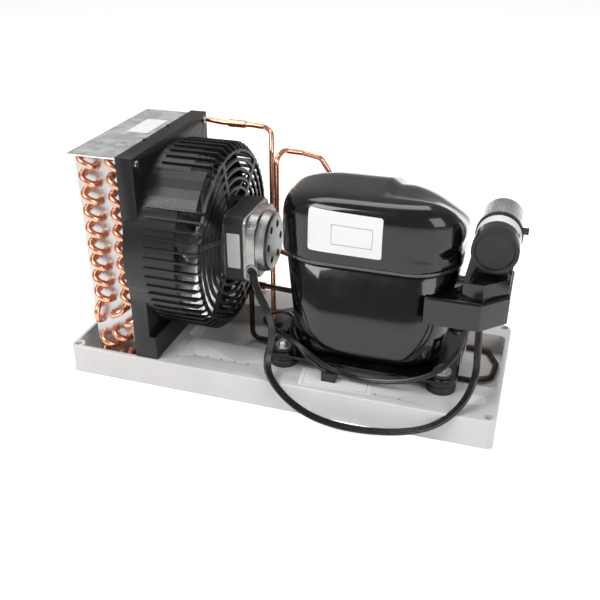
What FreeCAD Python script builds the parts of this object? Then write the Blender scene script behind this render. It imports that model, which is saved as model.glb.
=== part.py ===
import FreeCAD, Part
import math
import os
from types import SimpleNamespace
import Sketcher
from FreeCAD import Placement, Rotation, Vector

# Refrigeration condensing unit: base tray with condensate pan, finned condenser with fan,
# shroud and guard, hermetic compressor, pipes, terminal box, start capacitor and leads.
# Frame: X along the base, condenser at -X and compressor at +X; Y to the back; Z up.
# The origin is the centre of the base's underside. Lengths in millimetres, angles in degrees.

os.makedirs("parts", exist_ok=True)
doc = FreeCAD.newDocument("condensing_unit")
sheet = doc.addObject("Spreadsheet::Sheet", "Sizes")

# Places along X are measured from the base's left end, and along Y from its front edge.
SIZES = [
    ("base_length", 500, "length of the base tray"),
    ("base_width", 208.5, "width of the base tray"),
    ("base_height", 35, "deck above the table"),
    ("base_wall", 3, "wall of the moulded tray"),
    ("base_corner", 12, "radius of the upright corners"),
    ("base_rim_round", 2, "rounding of the deck's outer edge"),
    ("corner_hole", 8.4, "mounting hole in each corner"),
    ("corner_inset", 8.4, "corner hole from both edges"),
    ("corner_boss", 15, "round boss about a corner hole"),
    ("well_left", 5, "left edge of the condenser well"),
    ("well_right", 99.5, "right edge of the condenser well"),
    ("well_front", 5, "front edge of the condenser well"),
    ("well_rear", 192, "rear edge of the condenser well"),
    ("well_floor", 4, "floor of the condenser well"),
    ("pan_left", 126, "left edge of the condensate pan"),
    ("pan_margin", 5, "right edge of the pan from the right end of the tray"),
    ("pan_front", 63, "front edge of the pan"),
    ("pan_rear", 179, "rear edge of the pan beside the compressor"),
    ("pan_rear_narrow", 160, "rear edge of the pan beside the fan"),
    ("pan_step_start", 213, "where the pan starts to widen"),
    ("pan_step_end", 238, "where the pan has its full width"),
    ("pan_floor", 10, "floor of the pan"),
    ("pan_corner", 8, "radius of the pan's corners"),
    ("deck_hole", 3.4, "small fixing hole in the deck"),
    ("deck_hole_first", 153, "first small hole"),
    ("deck_hole_pitch", 16.5, "spacing of the small holes"),
    ("deck_hole_row", 26.5, "row of small holes"),
    # Condenser
    ("core_left", 30, "left face of the fin pack"),
    ("core_right", 97, "right face of the fin pack"),
    ("core_front", 23.4, "front end of the fin pack"),
    ("core_rear", 173.8, "rear end of the fin pack"),
    ("core_bottom", 9, "underside of the fin pack"),
    ("core_top", 272, "top of the fin pack"),
    ("fin_pitch", 3.2, "spacing of the fins"),
    ("fin_gap", 2.6, "gap between two fins"),
    ("fin_gap_depth", 7, "depth of the gaps that are cut in each face"),
    ("end_plate", 1.2, "thickness of the end plates"),
    ("end_plate_lip", 1, "end plate beyond the fin pack at each side"),
    ("top_plate_left", 29, "left edge of the top plate"),
    ("top_plate_front", 5.5, "front edge of the top plate"),
    ("top_plate_rear", 192, "rear edge of the top plate"),
    ("top_plate_thick", 1.2, "thickness of the top plate"),
    ("row_first", 38, "first tube row"),
    ("row_pitch", 16.8, "spacing of the tube rows"),
    ("tube_top", 267.5, "topmost tube of an odd row"),
    ("tube_pitch", 20, "spacing of the tubes in a row"),
    ("tube_dia", 7.5, "outside diameter of the condenser tube"),
    ("bend_leg", 2, "straight leg of a return bend"),
    # Fan shroud and guard
    ("frame_left", 88.5, "left edge of the shroud frame"),
    ("frame_right", 108, "right face of the shroud frame"),
    ("frame_front", 3.5, "front of the shroud frame"),
    ("frame_rear", 194, "rear of the shroud frame"),
    ("frame_top", 275.5, "top of the shroud frame"),
    ("shroud_wall", 2, "wall of the shroud moulding"),
    ("fan_axis_y", 98.75, "fan axis from the front edge"),
    ("fan_axis_z", 159, "fan axis above the table"),
    ("barrel_radius", 107, "outside radius of the barrel"),
    ("barrel_left", 92, "left end of the barrel beside the frame"),
    ("barrel_right", 152, "right end of the closed barrel"),
    ("foot_right", 115.5, "right face of the shroud foot"),
    ("foot_top", 64, "top of the shroud foot"),
    ("guard_right", 180, "right face of the guard"),
    ("guard_ring_inset", 6, "outermost guard ring inside the barrel's outside"),
    ("guard_rings", 5, "number of guard rings"),
    ("guard_ring_width", 3, "radial width of a guard ring"),
    ("guard_ring_depth", 3.4, "depth of a guard ring along the axis"),
    ("guard_ribs", 60, "ribs around the barrel"),
    ("rib_width", 2.2, "width of a rib"),
    ("rib_height", 2.2, "height of a rib above the barrel"),
    ("rib_left", 116, "left end of a rib"),
    ("spoke_width", 6, "width of a guard spoke"),
    ("motor_seat_radius", 48, "outer radius of the motor seat in the guard"),
    # Fan and motor
    ("blade_count", 5, "fan blades"),
    ("blade_tip_radius", 98, "tip radius of the fan"),
    ("blade_thick", 1.2, "thickness of a blade"),
    ("blade_pitch", 28, "pitch angle of a blade"),
    ("blade_centre", 140, "middle of the blades along the axis"),
    ("blade_width", 62, "width of a blade"),
    ("hub_radius", 22, "radius of the blade spider"),
    ("shaft_dia", 6.35, "motor shaft"),
    ("running_clearance", 0.05, "radial clearance of a shaft in its bearing"),
    ("motor_left", 174, "left end of the motor"),
    ("stator_left", 183, "left face of the lamination stack"),
    ("stator_right", 204, "right face of the lamination stack"),
    ("bell_right", 228, "right end of the front bell"),
    ("motor_size", 80, "side of the lamination stack"),
    ("motor_corner", 10, "corner radius of the lamination stack"),
    ("rotor_radius", 21, "radius of the motor's rotor"),
    ("rotor_gap", 0.4, "air gap about the rotor"),
    # Compressor
    ("comp_x", 346, "middle of the compressor"),
    ("comp_y", 101, "middle of the compressor"),
    ("foot_pitch_x", 180.5, "spacing of the compressor feet along the base"),
    ("foot_pitch_y", 108.5, "spacing of the compressor feet across the base"),
    ("grommet_dia", 32, "rubber foot"),
    ("grommet_height", 15, "rubber foot under the mounting plate"),
    ("shell_bottom_x", 86, "half length of the lower shell at its bottom"),
    ("shell_bottom_y", 64, "half width of the lower shell at its bottom"),
    ("shell_top_x", 94.8, "half length of the lower shell at the seam"),
    ("shell_top_y", 72.8, "half width of the lower shell at the seam"),
    ("shell_corner", 50, "corner radius of the lower shell"),
    ("shell_bottom_round", 16, "rounding of the lower shell's bottom"),
    ("shell_wall", 3, "wall of the compressor shells"),
    ("seam_height", 178, "weld seam above the table"),
    ("lap", 5, "lower shell inside the dome"),
    ("dome_x", 98, "half length of the dome"),
    ("dome_y", 76, "half width of the dome"),
    ("dome_top", 240, "top of the dome"),
    ("dome_draw", 3, "how much the dome narrows to its top on each side"),
    ("dome_round", 22, "rounding of the dome's top edge"),
    ("dome_crown", 190, "radius of the dome's crowned top"),
    ("crown_left", 26, "highest point of the crown to the left of the middle"),
    ("crown_rear", 8, "highest point of the crown behind the middle"),
    ("shell_top_fit", 0.6, "gap between the dome and the lower shell at the lap"),
    ("weld_height", 4, "height of the weld bead"),
    # Tray details
    ("pedestal_dia", 30, "pedestal under a rear compressor foot"),
    ("bay_left", 105.5, "left end of the hollow underside"),
    ("bay_margin", 20, "right end of the hollow underside from the right end of the tray"),
    ("side_hole_x", 134, "single small deck hole"),
    ("side_hole_y", 19, "single small deck hole"),
    ("edge_hole_x", 371, "first of two small holes near the front edge"),
    ("edge_hole_y", 13, "two small holes near the front edge"),
    ("edge_hole_pitch", 26, "spacing of the two small holes"),
    # Shroud details
    ("strap_width", 3, "raised strap over the frame's top"),
    ("strap_height", 1, "height of a raised strap"),
    ("strap_first", 62, "first strap from the frame's front"),
    ("strap_second", 120, "second strap from the frame's front"),
    ("screw_lug", 12, "side of the solid lug behind a shroud screw"),
    ("screw_lug_depth", 12, "depth of the lug behind a shroud screw"),
    ("screw_inset", 8, "shroud screws from the frame's edges"),
    ("screw_dia", 3.5, "shroud screw"),
    ("screw_head", 7.5, "head of a shroud screw"),
    ("screw_head_height", 2, "height of a screw head"),
    ("panel_gap", 0.2, "gap between the plain panel and the barrel"),
    ("guard_round", 7, "turn of the ribs into the guard's face"),
    ("spokes", 6, "spokes between the motor seat and the rings"),
    # Fan and motor details
    ("blade_bend", 90, "bending radius of a blade"),
    ("spider_thick", 3, "thickness of the blade spider"),
    ("bush_dia", 14, "bush that clamps the blades on the shaft"),
    ("bush_length", 16, "length of the bush"),
    ("shaft_end", 4, "shaft beyond the bush"),
    ("motor_bolt", 4, "through bolt of the motor"),
    ("motor_bolt_head", 7, "head of a motor bolt"),
    ("motor_bolt_place", 32, "motor bolts from the axis in both directions"),
    ("coil_width", 10, "radial width of the end windings"),
    ("coil_length", 5, "length of the end windings"),
    ("coil_gap", 0.5, "gap about the end windings"),
    ("bell_flange", 3, "flange of a motor bell"),
    ("bell_wall", 2, "wall of a motor bell"),
    ("bearing_dia", 14, "outside diameter of a sleeve bearing"),
    ("shoulder_length", 13, "square shoulder of the front bell"),
    ("shoulder_corner", 24, "corner radius of the front bell's shoulder"),
    ("vent_count", 6, "vents in the face of the front bell"),
    ("vent_dia", 9, "vent in the face of the front bell"),
    ("vent_place", 21, "vents from the motor's axis"),
    # Feet and brackets
    ("bracket_thick", 3, "thickness of the mounting brackets"),
    ("bracket_end", 17, "bracket beyond the foot"),
    ("bracket_corner", 16, "corner radius of the mounting plates"),
    ("bracket_joint", 0.3, "gap between the two mounting plates"),
    ("plate_ear", 26, "height of the ear at the end of a mounting plate"),
    ("ear_front", 46, "front of the ear from the middle of the compressor"),
    ("ear_length", 34, "length of the ear on a mounting plate"),
    ("ear_hole", 13, "hole in the ear"),
    ("neck_dia", 18, "neck of the rubber foot in the bracket"),
    ("grommet_lip", 3, "lip of the rubber foot above the bracket"),
    ("grommet_waist", 2, "depth of the waist of the rubber foot"),
    ("sleeve_dia", 10, "steel sleeve in the rubber foot"),
    ("stud_dia", 6, "stud through the foot"),
    ("nut_size", 10, "nut across flats"),
    ("nut_height", 5, "height of a nut"),
    ("washer_dia", 20, "washer on the foot"),
    ("washer", 1.5, "thickness of a washer"),
    # Inside of the compressor
    ("inner_spring", 12, "height of a suspension spring"),
    ("inner_spring_dia", 14, "diameter of a suspension spring"),
    ("inner_spring_place", 38, "springs from the middle in both directions"),
    ("inner_stack", 45, "height of the stator"),
    ("inner_stator", 96, "side of the stator"),
    ("inner_rotor", 52, "diameter of the rotor"),
    ("crank_dia", 16, "crankshaft"),
    ("crank_throw", 8, "throw of the crank pin"),
    ("crank_web", 5, "crank web"),
    ("crank_pin", 12, "crank pin"),
    ("rod_height", 12, "height of the connecting rod"),
    ("rod_length", 34, "crank pin to piston"),
    ("rod_wall", 4, "wall of the connecting rod"),
    ("block_height", 24, "height of the cylinder block's plate"),
    ("bore_start", 30, "start of the cylinder from the middle"),
    ("bore_length", 38, "length of the cylinder"),
    ("bore_out", 38, "outside of the cylinder"),
    ("bore", 24, "bore of the cylinder"),
    ("head_thick", 8, "cylinder head"),
    ("piston_length", 18, "length of the piston"),
    # Electrical box and capacitor
    ("cover_wall", 2, "wall of the terminal cover"),
    ("cover_left", 413, "left end of the terminal cover's nose"),
    ("cover_nose", 470, "right end of the terminal cover's nose"),
    ("cover_right", 496, "right side of the terminal cover"),
    ("cover_inner", 446, "side of the terminal cover next to the compressor"),
    ("cover_front", 21, "front of the terminal cover"),
    ("cover_rear", 112, "rear of the terminal cover"),
    ("cover_bottom", 126, "underside of the terminal cover"),
    ("cover_step", 157, "top of the terminal cover's nose"),
    ("cover_top", 173, "top of the terminal cover's upper step"),
    ("cover_set_back", 11, "upper step behind the nose"),
    ("cover_round", 3, "rounding of the terminal cover's nose"),
    ("terminal_y", 84, "middle of the terminals"),
    ("terminal_dia", 26, "hermetic terminal"),
    ("relay_place", 12, "start relay from the cover's inner side"),
    ("clearance", 0.5, "free space about pieces that pass through a wall"),
    ("relay_width", 34, "width of the start relay"),
    ("relay_height", 22, "height of the start relay"),
    ("can_x", 475, "start capacitor along the base"),
    ("can_z", 202, "axis of the start capacitor above the table"),
    ("can_dia", 46, "diameter of the start capacitor"),
    ("can_front", 50, "front of the start capacitor"),
    ("can_length", 92, "length of the start capacitor"),
    ("can_cap", 8, "depth of the capacitor's cap"),
    ("can_recess", 2, "recess in the capacitor's cap"),
    ("cap_lip", 0.6, "capacitor's cap beyond the can"),
    ("cap_lap", 2, "capacitor's cap over the can's end"),
    ("cap_rim", 3, "width of the rim round the cap's face"),
    ("cap_dish", 4, "edge of the cap's sunk face from the can's outside"),
    ("tie_head_past", 1, "cable tie's head past each side of its strap"),
    ("tie_head_out", 6, "cable tie's head beyond the can"),
    ("tie_head_low", 4, "underside of the tie's head above the can's middle"),
    ("tie_head_high", 9, "top of the tie's head above the can's middle"),
    ("base_lift", 2, "underside of the terminal base above the cover's edge"),
    ("relay_margin", 8, "relay's right face inside the cover's right side"),
    ("relay_inset", 4, "relay's rear face inside the terminal base"),
    ("tie_y", 94, "cable tie about the capacitor"),
    ("tie_width", 5, "width of a cable tie"),
    ("tie_thick", 1.4, "thickness of a cable tie"),
    ("cradle_front", 60, "front of the capacitor's cradle"),
    ("cradle_length", 32, "length of the capacitor's cradle"),
    ("cradle_width", 30, "width of the capacitor's cradle"),
    # Pipes and leads
    ("pipe_dia", 6.35, "copper and steel pipes"),
    ("sleeve_pipe_dia", 9.5, "brazed sleeve on the inlet pipe"),
    ("plug_dia", 10, "plug on the liquid outlet"),
    ("fan_lead_dia", 6, "lead of the fan motor"),
    ("supply_lead_dia", 5, "supply lead"),
]

for row, (alias, value, note) in enumerate(SIZES, 1):
    sheet.set(f"A{row}", note)
    sheet.set(f"B{row}", str(value))
    sheet.setAlias(f"B{row}", alias)
doc.recompute()


def text_of(length):
    return length.text if isinstance(length, Size) else repr(float(length))


class Size(float):
    """A length that carries the spreadsheet expression it comes from."""

    def __new__(cls, value, text):
        made = super().__new__(cls, value)
        made.text = text
        return made

    def __add__(self, other):
        return Size(float(self) + float(other), f"({self.text} + {text_of(other)})")

    def __radd__(self, other):
        return Size(float(other) + float(self), f"({text_of(other)} + {self.text})")

    def __sub__(self, other):
        return Size(float(self) - float(other), f"({self.text} - {text_of(other)})")

    def __rsub__(self, other):
        return Size(float(other) - float(self), f"({text_of(other)} - {self.text})")

    def __mul__(self, other):
        return Size(float(self) * float(other), f"({self.text} * {text_of(other)})")

    __rmul__ = __mul__

    def __truediv__(self, other):
        return Size(float(self) / float(other), f"({self.text} / {text_of(other)})")

    def __neg__(self):
        return Size(-float(self), f"(0 - {self.text})")


s = SimpleNamespace(**{alias: Size(sheet.get(f"B{row}"), f"Sizes.{alias}")
                       for row, (alias, value, note) in enumerate(SIZES, 1)})
PARTS = []
BEND_SIDES = 8
BEND_STEPS = 6
RING_SIDES = 48
PANEL_START = 30
PANEL_END = 54
SPOKE_START = 15


def from_left(place):
    return place - s.base_length / 2


def from_front(place):
    return place - s.base_width / 2


FAN_Y = from_front(s.fan_axis_y)
FAN_Z = s.fan_axis_z
COMP_X = from_left(s.comp_x)
COMP_Y = from_front(s.comp_y)
PLATE_TOP = s.base_height + s.grommet_height + s.bracket_thick
MOTOR_BOLTS = [(y, z) for y in (-s.motor_bolt_place, s.motor_bolt_place)
               for z in (-s.motor_bolt_place, s.motor_bolt_place)]


def keep(label, made):
    made.Label = label
    PARTS.append(made)
    return made


def bind(made, **lengths):
    for path, length in lengths.items():
        made.setExpression(path.replace("__", "."), text_of(length))


# Part primitives and booleans

def box(x0, x1, y0, y1, z0, z1):
    made = doc.addObject("Part::Box", "Box")
    bind(made, Length=x1 - x0, Width=y1 - y0, Height=z1 - z0,
         Placement__Base__x=x0, Placement__Base__y=y0, Placement__Base__z=z0)
    return made


TURN = {"x": Rotation(Vector(0, 1, 0), 90), "y": Rotation(Vector(1, 0, 0), -90), "z": Rotation()}


def rod(axis, radius, x, y, z, length):
    """A cylinder that starts at x, y, z and runs along the named axis."""
    made = doc.addObject("Part::Cylinder", "Rod")
    made.Placement = Placement(Vector(), TURN[axis])
    bind(made, Radius=radius, Height=length,
         Placement__Base__x=x, Placement__Base__y=y, Placement__Base__z=z)
    return made


def fuse(*pieces):
    made = doc.addObject("Part::MultiFuse", "Fuse")
    made.Shapes = list(pieces)
    return made


def cut(base, *tools):
    made = doc.addObject("Part::Cut", "Cut")
    made.Base = base
    made.Tool = tools[0] if len(tools) == 1 else fuse(*tools)
    return made


def common(*pieces):
    made = doc.addObject("Part::MultiCommon", "Common")
    made.Shapes = list(pieces)
    return made


def group(*pieces):
    made = doc.addObject("Part::Compound", "Group")
    made.Links = list(pieces)
    return made


def feature(label, shape):
    made = doc.addObject("Part::Feature", label)
    made.Shape = shape
    return keep(label, made)


# Bodies with sketches

def new_body(x=0.0, y=0.0, z=0.0):
    body = doc.addObject("PartDesign::Body", "Body")
    bind(body, Placement__Base__x=x, Placement__Base__y=y, Placement__Base__z=z)
    return body


def origin_part(body, role):
    return next(part for part in body.Origin.OriginFeatures if part.Role == role)


def new_sketch(body, role, offset=0.0):
    sketch = body.newObject("Sketcher::SketchObject", "Sketch")
    sketch.AttachmentSupport = [(origin_part(body, role), "")]
    sketch.MapMode = "FlatFace"
    bind(sketch, AttachmentOffset__Base__z=offset)
    return sketch


def fix(sketch, geometry, point, across, up):
    for kind, length in (("DistanceX", across), ("DistanceY", up)):
        number = sketch.addConstraint(Sketcher.Constraint(kind, -1, 1, geometry, point, float(length)))
        sketch.setExpression(f"Constraints[{number}]", text_of(length))


def draw_polygon(sketch, points):
    first = sketch.GeometryCount
    count = len(points)
    for i, (across, up) in enumerate(points):
        far_across, far_up = points[(i + 1) % count]
        sketch.addGeometry(Part.LineSegment(Vector(across, up, 0), Vector(far_across, far_up, 0)))
    for i in range(count):
        sketch.addConstraint(Sketcher.Constraint("Coincident", first + i, 2, first + (i + 1) % count, 1))
        fix(sketch, first + i, 1, *points[i])


def draw_rectangle(sketch, x0, x1, y0, y1):
    draw_polygon(sketch, [(x0, y0), (x1, y0), (x1, y1), (x0, y1)])


def draw_circle(sketch, x, y, radius):
    number = sketch.addGeometry(Part.Circle(Vector(x, y, 0), Vector(0, 0, 1), float(radius)))
    fix(sketch, number, 3, x, y)
    limit = sketch.addConstraint(Sketcher.Constraint("Radius", number, float(radius)))
    sketch.setExpression(f"Constraints[{limit}]", text_of(radius))


def pad(body, sketch, length, back=False, midplane=False):
    made = body.newObject("PartDesign::Pad", "Pad")
    made.Profile = sketch
    bind(made, Length=length)
    made.Reversed = back
    made.Midplane = midplane
    return made


def pocket(body, sketch, length, back=False, midplane=False):
    doc.recompute()
    before = body.Shape.Volume
    made = body.newObject("PartDesign::Pocket", "Pocket")
    made.Profile = sketch
    bind(made, Length=length)
    made.Reversed = back
    made.Midplane = midplane
    doc.recompute()
    if not body.Shape.Volume < before - 0.01:
        raise RuntimeError("a pocket cut nothing in " + body.Label)
    return made


def revolve(body, sketch, axis):
    made = body.newObject("PartDesign::Revolution", "Revolution")
    made.Profile = sketch
    made.ReferenceAxis = (origin_part(body, axis), [""])
    made.Angle = 360
    return made


def along(body, original, count, pitch, axis):
    made = body.newObject("PartDesign::LinearPattern", "LinearPattern")
    made.Originals = [original]
    made.Direction = (origin_part(body, axis), [""])
    bind(made, Length=pitch * (count - 1))
    made.Occurrences = int(count)
    body.Tip = made
    return made


def round_edges(body, radius, wanted, kind="PartDesign::Fillet"):
    doc.recompute()
    tip = body.Tip
    names = [f"Edge{i}" for i, edge in enumerate(tip.Shape.Edges, 1) if wanted(edge)]
    made = body.newObject(kind, "Round")
    made.Base = (tip, names)
    bind(made, **{"Radius" if kind.endswith("Fillet") else "Size": radius})
    return made


def ends(edge):
    return [vertex.Point for vertex in edge.Vertexes]


def upright(edge):
    points = ends(edge)
    return len(points) == 2 and abs(points[0].z - points[1].z) > 0.9 * points[0].distanceToPoint(points[1])


def at_height(level):
    return lambda edge: all(abs(point.z - level) < 0.01 for point in ends(edge))


# Base tray

def make_base():
    body = new_body()
    outline = new_sketch(body, "XY_Plane")
    left, right = from_left(0), from_left(s.base_length)
    front, rear = from_front(0), from_front(s.base_width)
    draw_rectangle(outline, left, right, front, rear)
    pad(body, outline, s.base_height)
    round_edges(body, s.base_corner, upright)

    well = new_sketch(body, "XY_Plane", s.base_height)
    draw_rectangle(well, from_left(s.well_left), from_left(s.well_right),
                   from_front(s.well_front), from_front(s.well_rear))
    pocket(body, well, s.base_height - s.well_floor)

    pan = new_sketch(body, "XY_Plane", s.base_height)
    draw_polygon(pan, [
        (from_left(s.pan_left), from_front(s.pan_front)),
        (from_left((s.base_length - s.pan_margin)), from_front(s.pan_front)),
        (from_left((s.base_length - s.pan_margin)), from_front(s.pan_rear)),
        (from_left(s.pan_step_end), from_front(s.pan_rear)),
        (from_left(s.pan_step_start), from_front(s.pan_rear_narrow)),
        (from_left(s.pan_left), from_front(s.pan_rear_narrow))])
    pocket(body, pan, s.base_height - s.pan_floor)

    def pan_corner_edge(edge):
        points = ends(edge)
        inside = all(float(front) + 20 < point.y < float(rear) - 20 for point in points)
        return upright(edge) and inside and all(point.x > float(from_left(s.well_right)) for point in points)

    round_edges(body, s.pan_corner, pan_corner_edge)
    round_edges(body, s.base_rim_round, lambda edge: at_height(s.base_height)(edge) and all(
        min(point.x - left, right - point.x, point.y - front, rear - point.y) < s.base_corner / 2
        and min(point.x - left, right - point.x, point.y - front, rear - point.y) < 0.01
        for point in ends(edge)))

    pedestals = new_sketch(body, "XY_Plane", s.pan_floor)
    for x in (-s.foot_pitch_x / 2, s.foot_pitch_x / 2):
        draw_circle(pedestals, COMP_X + x, COMP_Y + s.foot_pitch_y / 2, s.pedestal_dia / 2)
    pad(body, pedestals, s.base_height - s.pan_floor)

    bosses = new_sketch(body, "XY_Plane")
    draw_circle(bosses, from_left(s.corner_inset), from_front(s.corner_inset), s.corner_boss / 2)
    pad(body, bosses, s.base_height)

    under = new_sketch(body, "XY_Plane")
    draw_rectangle(under, from_left(s.bay_left), from_left((s.base_length - s.bay_margin)),
                   from_front(s.base_wall), from_front(s.pan_front - s.base_wall))
    draw_rectangle(under, from_left(s.bay_left), from_left(s.pan_step_start - s.base_wall),
                   from_front(s.pan_rear_narrow + s.base_wall), from_front(s.base_width - s.base_wall))
    draw_rectangle(under, from_left(s.pan_step_end + s.base_wall), from_left((s.base_length - s.bay_margin)),
                   from_front(s.pan_rear + s.base_wall), from_front(s.base_width - s.base_wall))
    draw_rectangle(under, from_left(s.bay_left), from_left(s.pan_left - s.base_wall),
                   from_front(s.pan_front), from_front(s.pan_rear_narrow))
    for x in (-s.foot_pitch_x / 2, s.foot_pitch_x / 2):
        draw_circle(under, COMP_X + x, COMP_Y + s.foot_pitch_y / 2, s.pedestal_dia / 2 - s.base_wall)
    pocket(body, under, s.base_height - s.base_wall, back=True)

    holes = new_sketch(body, "XY_Plane", s.base_height)
    for x in (s.corner_inset, s.base_length - s.corner_inset):
        for y in (s.corner_inset, s.base_width - s.corner_inset):
            draw_circle(holes, from_left(x), from_front(y), s.corner_hole / 2)
    for x in (-s.foot_pitch_x / 2, s.foot_pitch_x / 2):
        for y in (-s.foot_pitch_y / 2, s.foot_pitch_y / 2):
            draw_circle(holes, COMP_X + x, COMP_Y + y, s.stud_dia / 2 + s.running_clearance)
    for x, y in ((s.side_hole_x, s.side_hole_y), (s.edge_hole_x, s.edge_hole_y),
                 (s.edge_hole_x + s.edge_hole_pitch, s.edge_hole_y)):
        draw_circle(holes, from_left(x), from_front(y), s.deck_hole / 2)
    pocket(body, holes, s.base_height)

    row = new_sketch(body, "XY_Plane", s.base_height)
    draw_circle(row, from_left(s.deck_hole_first), from_front(s.deck_hole_row), s.deck_hole / 2)
    first = pocket(body, row, s.base_wall * 2)
    along(body, first, 5, s.deck_hole_pitch, "X_Axis")
    keep("base_tray", body)


# Condenser

def tube_place(row, number):
    """Place of a condenser tube: rows run along X, and even rows lie half a pitch lower."""
    return (from_left(s.row_first) + s.row_pitch * (row - 1),
            s.tube_top - s.tube_pitch * number - (s.tube_pitch / 2 if row % 2 == 0 else 0))


def make_core():
    body = new_body()
    outline = new_sketch(body, "XY_Plane", s.core_bottom)
    left, right = from_left(s.core_left), from_left(s.core_right)
    front, rear = from_front(s.core_front), from_front(s.core_rear)
    draw_rectangle(outline, left, right, front, rear)
    pad(body, outline, s.core_top - s.core_bottom)
    gap = new_sketch(body, "XY_Plane", s.core_bottom)
    start = front + (s.fin_pitch - s.fin_gap)
    draw_rectangle(gap, left, left + s.fin_gap_depth, start, start + s.fin_gap)
    draw_rectangle(gap, right - s.fin_gap_depth, right, start, start + s.fin_gap)
    first = pocket(body, gap, s.core_top - s.core_bottom, back=True)
    count = math.floor((s.core_rear - s.core_front) / s.fin_pitch)
    along(body, first, count, s.fin_pitch, "Y_Axis")
    keep("condenser_core", body)

    left, right = left - s.end_plate_lip, right + s.end_plate_lip
    keep("condenser_end_plate_front",
         box(left, right, front - s.end_plate, front, s.core_bottom, s.core_top))
    keep("condenser_end_plate_rear",
         box(left, right, rear, rear + s.end_plate, s.core_bottom, s.core_top))
    keep("condenser_top_plate",
         box(from_left(s.top_plate_left), from_left(s.frame_left),
             from_front(s.top_plate_front), from_front(s.top_plate_rear),
             s.core_top, s.core_top + s.top_plate_thick))


def ring_of(centre, across, up, radius, sides):
    """A closed wire of straight sides about centre, in the plane of two unit vectors."""
    points = [centre + across * (radius * math.cos(math.tau * i / sides))
              + up * (radius * math.sin(math.tau * i / sides)) for i in range(sides)]
    return Part.makePolygon(points + points[:1])


def return_bend(start, end, face, outward):
    """A U bend between two tube ends on an end plate; outward is -1 at the front, 1 at the rear."""
    first = Vector(start[0], face, start[1])
    last = Vector(end[0], face, end[1])
    out = Vector(0, outward, 0)
    chord = last - first
    radius = chord.Length / 2
    along_chord = chord.normalize()
    side = along_chord.cross(out)
    middle = (first + last) / 2 + out * float(s.bend_leg)
    wires = [ring_of(first, along_chord, side, s.tube_dia / 2, BEND_SIDES)]
    for i in range(BEND_STEPS + 1):
        turn = math.pi * i / BEND_STEPS
        away = along_chord * -math.cos(turn) + out * math.sin(turn)
        wires.append(ring_of(middle + away * radius, away * -1, side, s.tube_dia / 2, BEND_SIDES))
    wires.append(ring_of(last, along_chord * -1, side, s.tube_dia / 2, BEND_SIDES))
    return Part.makeLoft(wires, True, True)


def make_bends():
    front = float(from_front(s.core_front) - s.end_plate)
    rear = float(from_front(s.core_rear) + s.end_plate)
    front_pairs = [((odd, k), (odd + 1, k)) for k in range(9) for odd in (1, 3)]
    front_pairs += [((1, 9), (1, 10)), ((2, 9), (3, 9)), ((3, 10), (4, 9)), ((2, 10), (3, 11)),
                    ((1, 11), (2, 11)), ((4, 10), (4, 11)), ((1, 12), (2, 12)), ((3, 12), (4, 12))]
    rear_pairs = [((even, k), (even - 1, k + 1)) for k in range(12) for even in (2, 4)]
    for label, pairs, face, outward in (("return_bends_front", front_pairs, front, -1),
                                        ("return_bends_rear", rear_pairs, rear, 1)):
        bends = [return_bend(tube_place(*a), tube_place(*b), face, outward) for a, b in pairs]
        feature(label, Part.makeCompound(bends))


# Fan shroud and guard

def make_shroud():
    left, right = from_left(s.frame_left), from_left(s.frame_right)
    front, rear = from_front(s.frame_front), from_front(s.frame_rear)
    top, bottom = s.frame_top, s.base_height
    wall = s.shroud_wall
    hood = cut(box(left, right, front, rear, bottom, top),
               box(left - wall, right - wall, front + wall, rear - wall, bottom - wall, top - wall))
    bulge = cut(rod("x", s.barrel_radius, from_left(s.barrel_left), FAN_Y, FAN_Z,
                    from_left(s.barrel_right) - from_left(s.barrel_left)),
                box(left, right - wall, front + wall, rear - wall, bottom, top))
    foot = cut(box(right - wall, from_left(s.foot_right), front, rear, bottom, s.foot_top),
               box(left, from_left(s.foot_right) - wall, front + wall, rear - wall,
                   bottom - wall, s.foot_top - wall))
    shell = fuse(hood, bulge, foot)
    opening = rod("x", s.barrel_radius - wall, from_left(s.barrel_left) + wall, FAN_Y, FAN_Z,
                  from_left(s.barrel_right) - from_left(s.barrel_left))
    straps = [box(left, left + s.strap_width, front + y, front + y + s.strap_width,
                  top, top + s.strap_height) for y in (s.strap_first, s.strap_second)]
    tops = [box(right - s.screw_lug_depth, right, front + y - s.screw_lug / 2,
                front + y + s.screw_lug / 2, top - s.screw_lug - wall, top - wall)
            for y in (s.screw_inset, rear - front - s.screw_inset)]
    made = cut(fuse(shell, *tops), opening)
    holes = [rod("x", s.screw_dia / 2, right - s.screw_lug_depth, front + y,
                 top - s.screw_inset, s.screw_lug_depth)
             for y in (s.screw_inset, rear - front - s.screw_inset)]
    keep("fan_shroud", fuse(cut(made, *holes), *straps))

    heads = []
    for y in (s.screw_inset, rear - front - s.screw_inset):
        heads.append(fuse(rod("x", s.screw_dia / 2, right - s.screw_lug_depth, front + y,
                              top - s.screw_inset, s.screw_lug_depth),
                          rod("x", s.screw_head / 2, right, front + y, top - s.screw_inset,
                              s.screw_head_height)))
    keep("shroud_screws", group(*heads))


def ring(axis_radius, width, x0, x1, sides):
    """A many-sided ring about the fan axis between two places along X."""
    rings = []
    for radius in (axis_radius, axis_radius - width):
        wire = ring_of(Vector(float(x0), float(FAN_Y), float(FAN_Z)), Vector(0, 1, 0),
                       Vector(0, 0, 1), float(radius), sides)
        rings.append(Part.Face(wire).extrude(Vector(float(x1 - x0), 0, 0)))
    return rings[0].cut(rings[1])


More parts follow.
